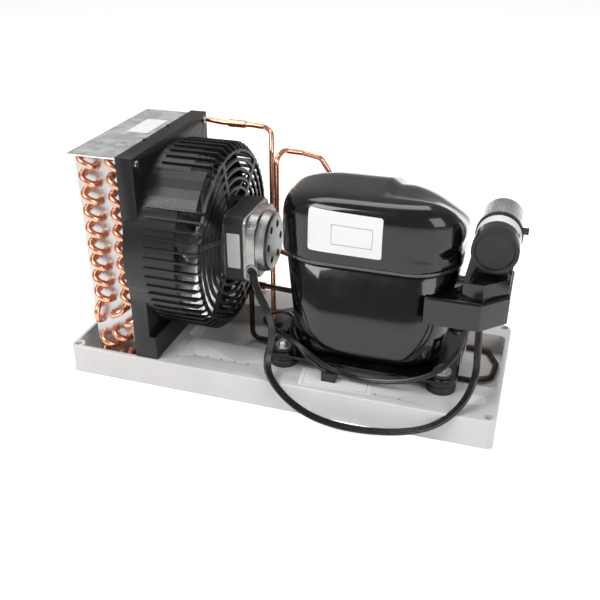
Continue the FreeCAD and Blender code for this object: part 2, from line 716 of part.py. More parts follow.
def make_guard():
    """The finger guard: ribs on the barrel that turn in to rings and spokes before the blades."""
    right = from_left(s.guard_right)
    outer = s.barrel_radius
    ring_radius = outer - s.guard_ring_inset
    ring_pitch = (ring_radius - s.motor_seat_radius) / s.guard_rings
    back = from_left(s.rib_left)
    ribs = []
    half = float(s.rib_width) / 2
    inner = float(outer)
    profile = [(back, inner), (back, inner + s.rib_height), (right - s.guard_round, inner + s.rib_height),
               (right, inner + s.rib_height - s.guard_round), (right, ring_radius - s.guard_ring_width),
               (right - s.guard_ring_depth, ring_radius - s.guard_ring_width),
               (right - s.guard_ring_depth, inner - s.guard_round / 2),
               (from_left(s.barrel_right) + s.guard_round, inner - s.shroud_wall),
               (from_left(s.barrel_right), inner - s.shroud_wall), (from_left(s.barrel_right), inner)]
    points = [Vector(float(x), -half, float(z)) for x, z in profile]
    rib = Part.Face(Part.makePolygon(points + points[:1])).extrude(Vector(0, 2 * half, 0))
    step = 360 / float(s.guard_ribs)
    panel_ribs = range(round(PANEL_START / step), round(PANEL_END / step) + 1)
    for i in range(int(s.guard_ribs)):
        if i in panel_ribs and i not in (panel_ribs[0], panel_ribs[-1]):
            continue
        placed = rib.copy()
        placed.Placement = Placement(Vector(0, float(FAN_Y), float(FAN_Z)),
                                     Rotation(Vector(1, 0, 0), step * i))
        ribs.append(placed)
    panel = ring(outer + s.rib_height, s.rib_height - s.panel_gap, back, right - s.guard_round,
                 int(s.guard_ribs))
    wedge_points = [Vector(0, 0, 0)]
    for i in panel_ribs:
        turn = math.radians(step * i)
        wedge_points.append(Vector(0, -math.sin(turn) * 200, math.cos(turn) * 200))
    wedge = Part.Face(Part.makePolygon(wedge_points + wedge_points[:1])).extrude(Vector(300, 0, 0))
    wedge.Placement = Placement(Vector(float(back) - 50, float(FAN_Y), float(FAN_Z)), Rotation())
    pieces = ribs + [panel.common(wedge)]
    for i in range(int(s.guard_rings)):
        radius = ring_radius - ring_pitch * i
        pieces.append(ring(radius, s.guard_ring_width, right - s.guard_ring_depth, right, RING_SIDES))
    pieces.append(ring(s.motor_seat_radius, s.guard_ring_width * 2,
                       right - s.guard_ring_depth, right, RING_SIDES))
    spoke = Part.makeBox(float(s.guard_ring_depth), float(s.spoke_width),
                         float(ring_radius - s.motor_seat_radius),
                         Vector(float(right - s.guard_ring_depth), -float(s.spoke_width) / 2,
                                float(s.motor_seat_radius) - 1))
    for i in range(int(s.spokes)):
        placed = spoke.copy()
        placed.Placement = Placement(Vector(0, float(FAN_Y), float(FAN_Z)),
                                     Rotation(Vector(1, 0, 0), SPOKE_START + 360 / float(s.spokes) * i))
        pieces.append(placed)
    feature("fan_guard", pieces[0].multiFuse(pieces[1:]))


# Fan and its motor

def make_fan():
    blades = []
    for i in range(int(s.blade_count)):
        sheet_metal = cut(rod("z", s.blade_bend, -s.blade_bend, 0.0, s.hub_radius - 6, s.blade_tip_radius),
                          rod("z", s.blade_bend - s.blade_thick, -s.blade_bend, 0.0,
                              s.hub_radius - 8, s.blade_tip_radius + 4))
        blank = box(-s.blade_width / 2, s.blade_width / 2, -s.blade_width / 2, s.blade_width / 2,
                    s.hub_radius - 6, s.blade_tip_radius + 4)
        blade = common(sheet_metal, blank)
        blade.Placement = Placement(Vector(), Rotation(Vector(0, 0, 1), 90 - float(s.blade_pitch)))
        trimmed = common(blade, rod("x", s.blade_tip_radius, -s.blade_width, 0.0, 0.0,
                                    s.blade_width * 2))
        trimmed.Placement = Placement(Vector(0, 0, 0), Rotation(Vector(1, 0, 0), 72 * i))
        blades.append(trimmed)
    spider = rod("x", s.hub_radius, -s.spider_thick / 2, 0.0, 0.0, s.spider_thick)
    made = cut(fuse(spider, *blades), rod("x", s.bush_dia / 2, -s.spider_thick * 4, 0.0, 0.0,
                                          s.spider_thick * 8))
    bind(made, Placement__Base__x=from_left(s.blade_centre), Placement__Base__y=FAN_Y,
         Placement__Base__z=FAN_Z)
    keep("fan_blades", made)
    keep("fan_bush", cut(rod("x", s.bush_dia / 2, from_left(s.blade_centre) - s.bush_length / 2,
                             FAN_Y, FAN_Z, s.bush_length),
                         rod("x", s.shaft_dia / 2, from_left(s.blade_centre) - s.bush_length,
                             FAN_Y, FAN_Z, s.bush_length * 2)))
    shaft_start = from_left(s.blade_centre) - s.bush_length / 2 - s.shaft_end
    keep("fan_shaft", rod("x", s.shaft_dia / 2, shaft_start, FAN_Y, FAN_Z,
                          from_left(s.bell_right) - s.bell_wall * 2 - shaft_start))


def rounded_block(half, corner, x0, x1):
    body = new_body(x0, FAN_Y, FAN_Z)
    outline = new_sketch(body, "YZ_Plane")
    draw_rectangle(outline, -half, half, -half, half)
    pad(body, outline, x1 - x0)
    round_edges(body, corner, lambda edge: edge.Length > 1 and abs(
        ends(edge)[0].x - ends(edge)[-1].x) > 0.9 * edge.Length)
    return body


def make_motor():
    half = s.motor_size / 2
    left, right = from_left(s.stator_left), from_left(s.stator_right)
    stator = cut(rounded_block(half, s.motor_corner, left, right),
                 rod("x", s.rotor_radius + s.rotor_gap, left, FAN_Y, FAN_Z, right - left))
    bolt_holes = [rod("x", s.motor_bolt / 2, left, FAN_Y + y, FAN_Z + z, right - left)
                  for y, z in MOTOR_BOLTS]
    keep("motor_stator", cut(stator, *bolt_holes))

    coil_out = s.rotor_radius + s.coil_width
    coils = [cut(rod("x", coil_out, x, FAN_Y, FAN_Z, s.coil_length),
                 rod("x", s.rotor_radius + s.coil_gap, x, FAN_Y, FAN_Z, s.coil_length))
             for x in (left - s.coil_length, right)]
    keep("motor_coils", group(*coils))
    keep("motor_rotor", cut(rod("x", s.rotor_radius, left - s.rotor_gap, FAN_Y, FAN_Z,
                                right - left + s.rotor_gap * 2),
                            rod("x", s.shaft_dia / 2, left - s.rotor_gap * 2, FAN_Y, FAN_Z,
                                right - left + s.rotor_gap * 4)))

    bearing_out = s.bearing_dia / 2
    rear_x = from_left(s.motor_left)
    rear = fuse(cut(rounded_block(half - 1, s.motor_corner, left - s.bell_flange, left),
                    rod("x", coil_out + s.coil_gap, left - s.bell_flange, FAN_Y, FAN_Z, s.bell_flange)),
                cut(rod("x", coil_out + s.bell_wall, rear_x, FAN_Y, FAN_Z, left - rear_x),
                    rod("x", coil_out + s.coil_gap, rear_x + s.bell_wall, FAN_Y, FAN_Z, left - rear_x)))
    rear = cut(rear, rod("x", bearing_out, rear_x, FAN_Y, FAN_Z, s.bell_wall * 2),
               *[rod("x", s.motor_bolt / 2, left - s.bell_flange, FAN_Y + y, FAN_Z + z, s.bell_flange)
                 for y, z in MOTOR_BOLTS])
    keep("motor_rear_bell", rear)

    end = from_left(s.bell_right)
    face = new_body(right, FAN_Y, FAN_Z)
    outline = new_sketch(face, "YZ_Plane")
    draw_rectangle(outline, -half + 1, half - 1, -half + 1, half - 1)
    pad(face, outline, s.bell_flange)
    round_edges(face, s.motor_corner, lambda edge: edge.Length > 1 and abs(
        ends(edge)[0].x - ends(edge)[-1].x) > 0.9 * edge.Length)
    profile = new_sketch(face, "XY_Plane")
    draw_polygon(profile, [(s.bell_flange, 0), (s.bell_flange, half - s.bell_wall * 2),
                           (s.shoulder_length, half - s.bell_wall * 2),
                           (end - right - s.bell_wall, half - s.bell_flange * 2),
                           (end - right, half - s.bell_flange * 3), (end - right, 0)])
    revolve(face, profile, "X_Axis")
    shoulder = rounded_block(half - s.bell_wall, s.shoulder_corner, right + s.bell_flange,
                             right + s.shoulder_length)
    vents = [rod("x", s.vent_dia / 2, end - s.bell_wall, FAN_Y + s.vent_place * math.cos(turn),
                 FAN_Z + s.vent_place * math.sin(turn), s.bell_wall)
             for turn in [math.tau * i / int(s.vent_count) for i in range(int(s.vent_count))]]
    bell = cut(fuse(face, shoulder), *vents,
               rod("x", coil_out + s.coil_gap, right, FAN_Y, FAN_Z, end - right - s.bell_wall),
               rod("x", bearing_out, end - s.bell_wall * 2, FAN_Y, FAN_Z, s.bell_wall),
               *[rod("x", s.motor_bolt / 2, right, FAN_Y + y, FAN_Z + z, end - right)
                 for y, z in MOTOR_BOLTS],
               *[rod("x", s.motor_bolt_head / 2 + s.coil_gap, right + s.bell_flange + s.bell_wall,
                     FAN_Y + y, FAN_Z + z, end - right) for y, z in MOTOR_BOLTS])
    keep("motor_bearings", group(*[
        cut(rod("x", bearing_out, x, FAN_Y, FAN_Z, s.bell_wall * 2),
            rod("x", s.shaft_dia / 2 + s.running_clearance, x, FAN_Y, FAN_Z, s.bell_wall * 2))
        for x in (rear_x, end - s.bell_wall * 3)]))
    keep("motor_front_bell", fuse(bell, cut(
        rod("x", bearing_out + s.bell_wall, end - s.bell_wall * 3, FAN_Y, FAN_Z, s.bell_wall * 2),
        rod("x", bearing_out, end - s.bell_wall * 3, FAN_Y, FAN_Z, s.bell_wall * 2))))


# Compressor

def tapered_block(half_x, half_y, corner, bottom, height, widen, low_round=0.0, top_round=0.0):
    """A block with rounded corners whose half length and half width grow by widen towards its top."""
    block = doc.addObject("Part::Wedge", "Wedge")
    block.Placement = Placement(Vector(), Rotation(Vector(1, 0, 0), 90))
    bind(block, Xmin=-half_x, Xmax=half_x, Zmin=-half_y, Zmax=half_y, Ymin=0.0, Ymax=height,
         X2min=-half_x - widen, X2max=half_x + widen, Z2min=-half_y - widen, Z2max=half_y + widen,
         Placement__Base__x=COMP_X, Placement__Base__y=COMP_Y, Placement__Base__z=bottom)
    level = float(bottom)
    made = fillet(block, corner, upright)
    if low_round:
        made = fillet(made, low_round, at_height(level))
    if top_round:
        made = fillet(made, top_round, at_height(level + float(height)))
    return made


def fillet(base, radius, wanted):
    doc.recompute()
    made = doc.addObject("Part::Fillet", "Fillet")
    made.Base = base
    made.Edges = [(i, float(radius), float(radius))
                  for i, edge in enumerate(base.Shape.Edges, 1) if wanted(edge)]
    return made


def crowned(block, drop, radius):
    """A block whose top is cut to a shallow sphere, drop below the outside of the dome, and rounded."""
    crown = doc.addObject("Part::Sphere", "Crown")
    bind(crown, Radius=s.dome_crown - drop, Placement__Base__x=COMP_X - s.crown_left,
         Placement__Base__y=COMP_Y + s.crown_rear, Placement__Base__z=s.dome_top - s.dome_crown)
    made = common(block, crown)
    level = float(s.seam_height)
    return fillet(made, radius, lambda edge: not upright(edge) and all(
        point.z > level + 1 for point in ends(edge)) and edge.Length > 1)


def make_shells():
    wall = s.shell_wall
    rise = s.seam_height + s.lap - PLATE_TOP
    widen = s.shell_top_x - s.shell_bottom_x
    lower = tapered_block(s.shell_bottom_x, s.shell_bottom_y, s.shell_corner, PLATE_TOP, rise,
                          widen, low_round=s.shell_bottom_round)
    hollow = tapered_block(s.shell_bottom_x - wall, s.shell_bottom_y - wall, s.shell_corner - wall,
                           PLATE_TOP + wall, rise, widen, low_round=s.shell_bottom_round - wall)
    keep("compressor_lower_shell", cut(lower, hollow))

    height = s.dome_top - s.seam_height
    inset = s.shell_top_fit
    dome = crowned(tapered_block(s.dome_x, s.dome_y, s.shell_corner + wall, s.seam_height,
                                 height, -s.dome_draw), 0.0, s.dome_round)
    inside = crowned(tapered_block(s.shell_top_x + inset, s.shell_top_y + inset, s.shell_corner,
                                   s.seam_height, height, -s.dome_draw), wall, s.dome_round - wall)
    keep("compressor_dome", cut(dome, inside))

    weld_out = tapered_block(s.dome_x, s.dome_y, s.shell_corner + wall,
                             s.seam_height - s.weld_height, s.weld_height, 0.0)
    keep("compressor_weld", cut(weld_out, lower))
    return lower


def make_brackets():
    """Two mounting plates that meet under the compressor; the right one has an upright ear."""
    foot_x = s.foot_pitch_x / 2
    low = PLATE_TOP - s.bracket_thick
    half = s.foot_pitch_y / 2 + s.bracket_end
    for label, side in (("mounting_bracket_left", -1), ("mounting_bracket_right", 1)):
        plate = new_body(COMP_X, COMP_Y, low)
        outline = new_sketch(plate, "XY_Plane")
        outer = (foot_x + s.bracket_end) * side
        inner = s.bracket_joint / 2 * side
        draw_rectangle(outline, min(outer, inner), max(outer, inner), -half, half)
        pad(plate, outline, s.bracket_thick)
        round_edges(plate, s.bracket_corner, lambda edge, far=abs(outer): upright(edge) and all(
            abs(abs(point.x) - far) < 0.01 for point in ends(edge)))
        if side > 0:
            ear = new_sketch(plate, "YZ_Plane", outer - s.bracket_thick)
            draw_rectangle(ear, -s.ear_front, s.ear_length - s.ear_front, 0, s.plate_ear)
            pad(plate, ear, s.bracket_thick)
            hole = new_sketch(plate, "YZ_Plane", outer - s.bracket_thick)
            draw_circle(hole, s.ear_length / 2 - s.ear_front, s.plate_ear - s.ear_hole, s.ear_hole / 2)
            pocket(plate, hole, s.bracket_thick, back=True)
        bolts = [rod("z", s.neck_dia / 2, COMP_X + foot_x * side, COMP_Y + s.foot_pitch_y / 2 * end,
                     low, s.bracket_thick) for end in (-1, 1)]
        keep(label, cut(plate, *bolts))


def at_feet(make):
    pieces = []
    for x in (-1, 1):
        for y in (-1, 1):
            pieces.append(make(COMP_X + s.foot_pitch_x / 2 * x, COMP_Y + s.foot_pitch_y / 2 * y))
    return group(*pieces)


def make_feet():
    deck = s.base_height
    low = deck + s.grommet_height
    top = low + s.bracket_thick + s.grommet_lip

    def grommet(x, y):
        body = new_body(x, y, deck)
        profile = new_sketch(body, "XZ_Plane")
        bore, neck, out = s.sleeve_dia / 2, s.neck_dia / 2, s.grommet_dia / 2
        draw_polygon(profile, [
            (bore, 0), (out, 0), (out, s.grommet_height / 3), (out - s.grommet_waist, s.grommet_height / 2),
            (out, s.grommet_height * 2 / 3), (out - 1, s.grommet_height), (neck, s.grommet_height),
            (neck, low + s.bracket_thick - deck), (neck + s.grommet_lip, low + s.bracket_thick - deck),
            (neck + s.grommet_lip / 2, top - deck), (bore, top - deck)])
        revolve(body, profile, "Z_Axis")
        return body

    def sleeve(x, y):
        return cut(rod("z", s.sleeve_dia / 2, x, y, deck, top - deck),
                   rod("z", s.stud_dia / 2 + s.running_clearance, x, y, deck, top - deck))

    def stud(x, y):
        head = hexagon(x, y, deck - s.base_wall - s.nut_height, s.nut_height, s.nut_size)
        return fuse(head, rod("z", s.stud_dia / 2, x, y, deck - s.base_wall,
                              top + s.washer + s.nut_height + 1 - deck + s.base_wall))

    def washer(x, y):
        return cut(rod("z", s.washer_dia / 2, x, y, top, s.washer),
                   rod("z", s.stud_dia / 2, x, y, top, s.washer))

    def nut(x, y):
        return cut(hexagon(x, y, top + s.washer, s.nut_height, s.nut_size),
                   rod("z", s.stud_dia / 2, x, y, top + s.washer, s.nut_height))

    keep("rubber_feet", at_feet(grommet))
    keep("foot_sleeves", at_feet(sleeve))
    keep("foot_studs", at_feet(stud))
    keep("foot_washers", at_feet(washer))
    keep("foot_nuts", at_feet(nut))


def hexagon(x, y, z, height, across_flats):
    prism = doc.addObject("Part::Prism", "Hexagon")
    prism.Polygon = 6
    bind(prism, Circumradius=across_flats / math.sqrt(3), Height=height,
         Placement__Base__x=x, Placement__Base__y=y, Placement__Base__z=z)
    return prism


def make_compressor_inside():
    """Motor, crankshaft, block and piston of the reciprocating compressor, within the shells."""
    x, y = COMP_X, COMP_Y
    bottom = PLATE_TOP + s.shell_wall
    stator_z = bottom + s.inner_spring
    stack = s.inner_stack
    keep("compressor_springs", group(*[
        cut(rod("z", s.inner_spring_dia / 2, x + s.inner_spring_place * a, y + s.inner_spring_place * b,
                bottom, s.inner_spring),
            rod("z", s.inner_spring_dia / 2 - 2, x + s.inner_spring_place * a,
                y + s.inner_spring_place * b, bottom, s.inner_spring))
        for a in (-1, 1) for b in (-1, 1)]))
    keep("compressor_stator", cut(
        box(x - s.inner_stator / 2, x + s.inner_stator / 2, y - s.inner_stator / 2,
            y + s.inner_stator / 2, stator_z, stator_z + stack),
        rod("z", s.inner_rotor / 2 + s.rotor_gap, x, y, stator_z, stack)))
    keep("compressor_rotor", cut(
        rod("z", s.inner_rotor / 2, x, y, stator_z, stack),
        rod("z", s.crank_dia / 2, x, y, stator_z, stack)))
    block_z = stator_z + stack
    block_top = block_z + s.block_height
    pin_z = block_top + s.crank_web
    keep("compressor_crankshaft", fuse(
        rod("z", s.crank_dia / 2, x, y, stator_z, block_top - stator_z),
        rod("z", s.crank_dia / 2 + s.crank_throw, x, y, block_top, s.crank_web),
        rod("z", s.crank_pin / 2, x + s.crank_throw, y, pin_z, s.rod_height)))
    bore_x = x + s.bore_start
    bore_z = pin_z + s.rod_height / 2
    block = fuse(
        cut(box(x - s.inner_stator / 2, x + s.inner_stator / 2, y - s.inner_stator / 2,
                y + s.inner_stator / 2, block_z, block_top),
            rod("z", s.inner_rotor / 2, x, y, block_z, s.block_height / 2)),
        rod("x", s.bore_out / 2, bore_x, y, bore_z, s.bore_length),
        box(bore_x, bore_x + s.bore_length, y - s.bore_out / 2, y + s.bore_out / 2,
            block_z + s.block_height / 2, bore_z))
    keep("compressor_block", cut(
        block, rod("z", s.crank_dia / 2 + s.running_clearance, x, y, block_z, s.block_height),
        rod("x", s.bore / 2, bore_x, y, bore_z, s.bore_length)))
    keep("compressor_head", rod("x", s.bore_out / 2, bore_x + s.bore_length, y, bore_z, s.head_thick))
    piston_x = x + s.crank_throw + s.rod_length
    keep("compressor_piston", rod("x", s.bore / 2 - s.running_clearance, piston_x, y, bore_z,
                                  s.piston_length))
    keep("connecting_rod", cut(
        fuse(rod("z", s.crank_pin / 2 + s.rod_wall, x + s.crank_throw, y, pin_z, s.rod_height),
             box(x + s.crank_throw, piston_x, y - s.rod_wall, y + s.rod_wall, pin_z,
                 pin_z + s.rod_height)),
        rod("z", s.crank_pin / 2 + s.running_clearance, x + s.crank_throw, y, pin_z, s.rod_height)))


# Electrical box, relay and capacitor

def prism(points, bottom, height):
    body = new_body(0.0, 0.0, bottom)
    outline = new_sketch(body, "XY_Plane")
    draw_polygon(outline, [(from_left(x), from_front(y)) for x, y in points])
    pad(body, outline, height)
    return body


def make_terminal_box(lower):
    wall = s.cover_wall
    low, mid, high = s.cover_bottom, s.cover_step, s.cover_top
    inner, outer_x, front = s.cover_inner, s.cover_right, s.cover_front
    outside = [(s.cover_left, front), (s.cover_nose, front),
               (outer_x, front + outer_x - s.cover_nose), (outer_x, s.cover_rear), (inner, s.cover_rear),
               (inner, 62), (432, 42), (424, 30), (s.cover_left, 30)]
    inside = [(s.cover_left + wall, front + wall),
              (s.cover_nose - wall / 2, front + wall),
              (outer_x - wall, front + outer_x - s.cover_nose + wall / 2),
              (outer_x - wall, s.cover_rear - wall), (inner + wall, s.cover_rear - wall),
              (inner + wall, 61), (434, 40), (425, 28), (s.cover_left + wall, 28)]
    upper = [(inner + 3, front + s.cover_set_back), (s.cover_nose, front + s.cover_set_back),
             (outer_x - 2, front + outer_x - s.cover_nose + 6), (outer_x - 2, s.cover_rear - 2),
             (inner + 3, s.cover_rear - 2)]
    nose = prism(outside, low, mid - low)
    corners = [from_left(s.cover_left), from_left(s.cover_nose), from_left(outer_x)]
    round_edges(nose, s.cover_round, lambda edge: upright(edge) and all(
        min(abs(point.x - corner) for corner in corners) < 0.01 for point in ends(edge)))
    round_edges(nose, s.cover_round, at_height(float(mid - low)))
    shell = fuse(nose, prism(upper, mid, high - mid))
    pin_z = low + s.relay_height / 2 + 4
    way_in = rod("x", s.terminal_dia / 2 + s.clearance, from_left(inner) - 2, from_front(s.terminal_y),
                 pin_z, wall + 4)
    keep("terminal_cover", cut(shell, prism(inside, low, mid - low - wall), way_in))

    relay_front, relay_rear = s.terminal_y - s.relay_width / 2, s.terminal_y + s.relay_width / 2
    base_left, base_right = inner + wall + s.clearance, outer_x - wall - s.clearance * 2
    base_low = low + s.base_lift
    base = prism([(base_left, s.terminal_y - s.relay_width), (base_right, s.terminal_y - s.relay_width),
                  (base_right, relay_rear), (base_left, relay_rear)], base_low, wall)
    keep("terminal_base", base)
    relay_left, relay_right = inner + s.relay_place, outer_x - s.relay_margin
    relay = prism([(relay_left, relay_front), (relay_right, relay_front),
                   (relay_right, relay_rear - s.relay_inset), (relay_left, relay_rear - s.relay_inset)],
                  base_low + wall, s.relay_height)
    keep("start_relay", relay)
    side = COMP_X + s.shell_bottom_x
    post_end = from_left(inner + wall + 0.4)
    post = cut(rod("x", s.terminal_dia / 2, side, from_front(s.terminal_y), pin_z, post_end - side), lower)
    pins = [rod("x", 1.2, post_end, from_front(s.terminal_y) + a, pin_z + b,
                from_left(inner + s.relay_place) - post_end) for a, b in ((-6, -4), (6, -4), (0, 6))]
    keep("hermetic_terminal", fuse(post, *pins))


def make_capacitor():
    x, z = from_left(s.can_x), s.can_z
    front = from_front(s.can_front)
    keep("capacitor_can", rod("y", s.can_dia / 2, x, front + s.can_cap, z, s.can_length - s.can_cap))
    body = new_body(x, front, z)
    profile = new_sketch(body, "XY_Plane")
    out = s.can_dia / 2
    lip, lapped = out + s.cap_lip, s.can_cap + s.cap_lap
    draw_polygon(profile, [(0, s.can_recess), (out - s.cap_dish, s.can_recess), (out - s.cap_rim, 0),
                           (lip, 0), (lip, lapped), (out, lapped), (out, s.can_cap), (0, s.can_cap)])
    revolve(body, profile, "Y_Axis")
    keep("capacitor_cap", body)
    strap = cut(rod("y", out + s.tie_thick, x, from_front(s.tie_y), z, s.tie_width),
                rod("y", out, x, from_front(s.tie_y), z, s.tie_width))
    tie_front = from_front(s.tie_y) - s.tie_head_past
    tie_depth = s.tie_width + s.tie_head_past * 2
    head = box(x + out - s.tie_head_past * 2, x + out + s.tie_head_out, tie_front, tie_front + tie_depth,
               z + s.tie_head_low, z + s.tie_head_high)
    keep("capacitor_tie", cut(fuse(strap, head), rod("y", out, x, tie_front, z, tie_depth)))
    cradle_front = from_front(s.cradle_front)
    cradle = box(x - s.cradle_width / 2, x + s.cradle_width / 2, cradle_front,
                 cradle_front + s.cradle_length, s.cover_top, z - out + 6)
    keep("capacitor_bracket", cut(cradle, rod("y", out, x, cradle_front - 1, z, s.cradle_length + 2)))


# Pipes and leads

def route(points, bend=None):
    """Straight runs joined by tangent arcs; without a bend radius it follows from the shorter run."""
    spots = [Vector(*[float(value) for value in point]) for point in points]
    edges = []
    radii = []
    start = spots[0]
    for before, corner, after in zip(spots, spots[1:], spots[2:]):
        back = (before - corner).normalize()
        ahead = (after - corner).normalize()
        turn = math.pi - back.getAngle(ahead)
        shorter = min((before - corner).Length, (after - corner).Length)
        reach = 0.45 * shorter
        if bend is not None:
            reach = min(reach, bend * math.tan(turn / 2))
        radius = reach / math.tan(turn / 2)
        radii.append(radius)
        first = corner + back * reach
        last = corner + ahead * reach
        inward = (back + ahead).normalize()
        middle = corner + inward * (radius / math.cos(turn / 2) - radius)
        edges.append(Part.LineSegment(start, first).toShape())
        edges.append(Part.Arc(first, middle, last).toShape())
        start = last
    edges.append(Part.LineSegment(start, spots[-1]).toShape())
    return Part.Wire(edges), radii


def along_row(points):
    """Points given from the base's front left corner, moved to the part's frame."""
    return [(float(from_left(x)), float(from_front(y)), z) for x, y, z in points]


def tube_shape(path, diameter):
    start = path.Edges[0]
    circle = Part.makeCircle(float(diameter) / 2, start.Vertexes[0].Point,
                             start.tangentAt(start.FirstParameter))
    made = path.makePipeShell([Part.Wire(circle)], True, True)
    straight = math.pi * (float(diameter) / 2) ** 2 * path.Length
    if abs(made.Volume - straight) > 0.01 * straight:
        raise RuntimeError("a tube has the wrong volume")
    return made


def tube(label, path, diameter):
    return feature(label, tube_shape(path, diameter))


def pipe(label, bend, *runs, trim=None):
    """A pipe of one or more runs, each a list of points, brazed together and trimmed by a solid."""
    tubes = [tube_shape(route(along_row(points), bend)[0], s.pipe_dia) for points in runs]
    made = tubes[0].multiFuse(tubes[1:]) if tubes[1:] else tubes[0]
    return feature(label, made.cut(trim) if trim else made)


def lead(label, points, diameter):
    path, radii = route(along_row(points))
    print(label, "radii", [round(radius, 1) for radius in radii], "length", round(path.Length, 1))
    return tube(label, path, diameter)


def make_pipes(lower):
    rear_face = s.core_rear + s.end_plate
    inlet = tube_place(3, 0)[1]
    pipe("condenser_inlet_pipe", 8, [
        (71.6, rear_face, inlet), (71.6, 199, inlet), (128, 199, 262), (166, 199, 262),
        (184, 195, 262), (196, 183, 260), (200, 172, 240), (207, 150, 38), (207, 150, 17.2)],
        [(38, rear_face, inlet), (38, 186, inlet), (70, 186, inlet)])
    keep("inlet_sleeve", cut(
        rod("x", s.sleeve_pipe_dia / 2, from_left(136), from_front(199), 262, 22),
        rod("x", s.pipe_dia / 2, from_left(136), from_front(199), 262, 22)))
    outlet = tube_place(2, 12)[1]
    pipe("liquid_outlet_pipe", 8, [(54.8, rear_face, outlet), (54.8, 187.5, outlet), (26, 187.5, outlet),
                                   (26, 187.5, 44), (44, 199.5, 44), (171, 199.5, 44)],
         [(88.4, rear_face, outlet), (88.4, 187.5, outlet), (54.8, 187.5, outlet)])
    keep("outlet_plug", cut(rod("x", s.plug_dia / 2, from_left(166), from_front(199.5), 44, 12),
                            rod("x", s.pipe_dia / 2, from_left(166), from_front(199.5), 44, 5)))
    pipe("suction_pipe", 9, [(259, 128, 124), (213.5, 150, 124), (213.5, 150, 240), (214, 176, 242),
                             (234, 188, 237), (256, 188, 233), (267, 188, 217), (267, 188, 160)],
         trim=lower.Shape)
    pipe("discharge_pipe", 10, [
        (264, 112, 90), (190, 118, 90), (190, 118, 14), (300, 108, 14), (463, 103, 14), (486, 115, 14),
        (489, 146, 14), (476, 174.3, 14), (246, 174.3, 14), (222, 158, 14), (203.8, 150, 14)],
         trim=lower.Shape)


def make_leads():
    lead("fan_lead", FAN_LEAD, s.fan_lead_dia)
    supply = lead("supply_lead", SUPPLY_LEAD, s.supply_lead_dia)
    keep("supply_connector", cut(box(from_left(308), from_left(324), from_front(19), from_front(29),
                                     s.base_height, s.base_height + 11),
                                 supply))


# Points of a lead from the base's front left corner, height above the table last
FAN_LEAD = [(216, 58, 137), (222, 45, 129), (236, 35, 113), (248, 27, 97), (251, 22, 79),
            (247, 17, 60), (250, 4, 46), (265, -9, 36), (284, -13, 21), (312, -16, 9), (352, -17, 5),
            (402, -12, 8), (440, -8, 22), (464, 6, 44), (473, 31, 64), (471, 40, 92), (469, 42, 130)]
SUPPLY_LEAD = [(459, 32, 130), (457, 30, 104), (442, 22, 76), (412, 21, 56), (376, 24, 44),
               (338, 26, 42), (308, 21, 56), (288, 26, 67), (262, 42, 70), (240, 54, 70),
               (221.5, 75, 68), (221.3, 90.1, 67), (231.4, 100.2, 67), (245.6, 100.2, 67),
               (255.7, 90.1, 67), (256, 73, 67), (263, 51, 68), (276, 33, 68), (294, 20, 60),
               (311, 24, 45)]

make_base()
make_core()
make_bends()
make_shroud()
make_guard()
make_fan()
make_motor()
lower_shell = make_shells()
make_brackets()
make_feet()
make_compressor_inside()
make_terminal_box(lower_shell)
make_capacitor()
doc.recompute()
make_pipes(lower_shell)
make_leads()
doc.recompute()

for made in doc.Objects:
    if "Invalid" in made.State or "Error" in made.State:
        parents = [one.Label for one in made.InListRecursive]
        raise RuntimeError(f"{made.Name} has state {made.State}, in {parents}")
for made in PARTS:
    if made.Shape.isNull() or not made.Shape.isValid():
        raise RuntimeError(f"{made.Label} has no valid shape")
for made in PARTS:
    made.Shape.exportStep(f"parts/{made.Label}.step")
    print(made.Label, round(made.Shape.Volume), [round(value, 1) for value in (
        made.Shape.BoundBox.XMin, made.Shape.BoundBox.XMax, made.Shape.BoundBox.YMin,
        made.Shape.BoundBox.YMax, made.Shape.BoundBox.ZMin, made.Shape.BoundBox.ZMax)])
print(len(PARTS), "nodes")
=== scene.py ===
import math

import bmesh
import bpy
from bpy.props import FloatProperty, FloatVectorProperty, IntProperty, PointerProperty
from bpy.types import Operator, Panel, PropertyGroup
from mathutils import Matrix, Quaternion, Vector
from mathutils.bvhtree import BVHTree


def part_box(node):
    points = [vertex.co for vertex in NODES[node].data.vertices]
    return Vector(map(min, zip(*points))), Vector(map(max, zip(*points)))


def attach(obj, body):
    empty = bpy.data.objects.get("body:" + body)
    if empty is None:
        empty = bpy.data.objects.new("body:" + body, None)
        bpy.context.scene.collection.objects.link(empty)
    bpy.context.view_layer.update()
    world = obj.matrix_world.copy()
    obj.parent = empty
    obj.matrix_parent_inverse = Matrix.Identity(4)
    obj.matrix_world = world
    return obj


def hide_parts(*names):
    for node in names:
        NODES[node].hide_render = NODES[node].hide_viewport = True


bl_info = {
    "name": "Condensing unit",
    "version": (1, 0, 0),
    "blender": (4, 5, 0),
    "location": "View3D > Sidebar > Condensing unit",
    "description": "Builds the finishes and fine pieces of a refrigeration condensing unit",
    "category": "Add Mesh",
}

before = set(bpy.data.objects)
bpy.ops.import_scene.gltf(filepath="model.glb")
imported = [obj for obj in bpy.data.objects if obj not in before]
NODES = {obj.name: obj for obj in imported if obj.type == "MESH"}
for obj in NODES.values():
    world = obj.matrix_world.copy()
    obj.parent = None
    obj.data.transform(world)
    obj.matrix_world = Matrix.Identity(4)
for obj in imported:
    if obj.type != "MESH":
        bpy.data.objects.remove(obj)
UNIT = "unit"
FAN = "fan"
MM = 0.001
TRAY_LOW, TRAY_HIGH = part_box("base_tray")


def spot(x, y, z):
    """A point given in millimetres from the tray's front left corner and the table."""
    return Vector((TRAY_LOW.x + x * MM, TRAY_LOW.y + y * MM, z * MM))


# Sizes and colours that a user would change

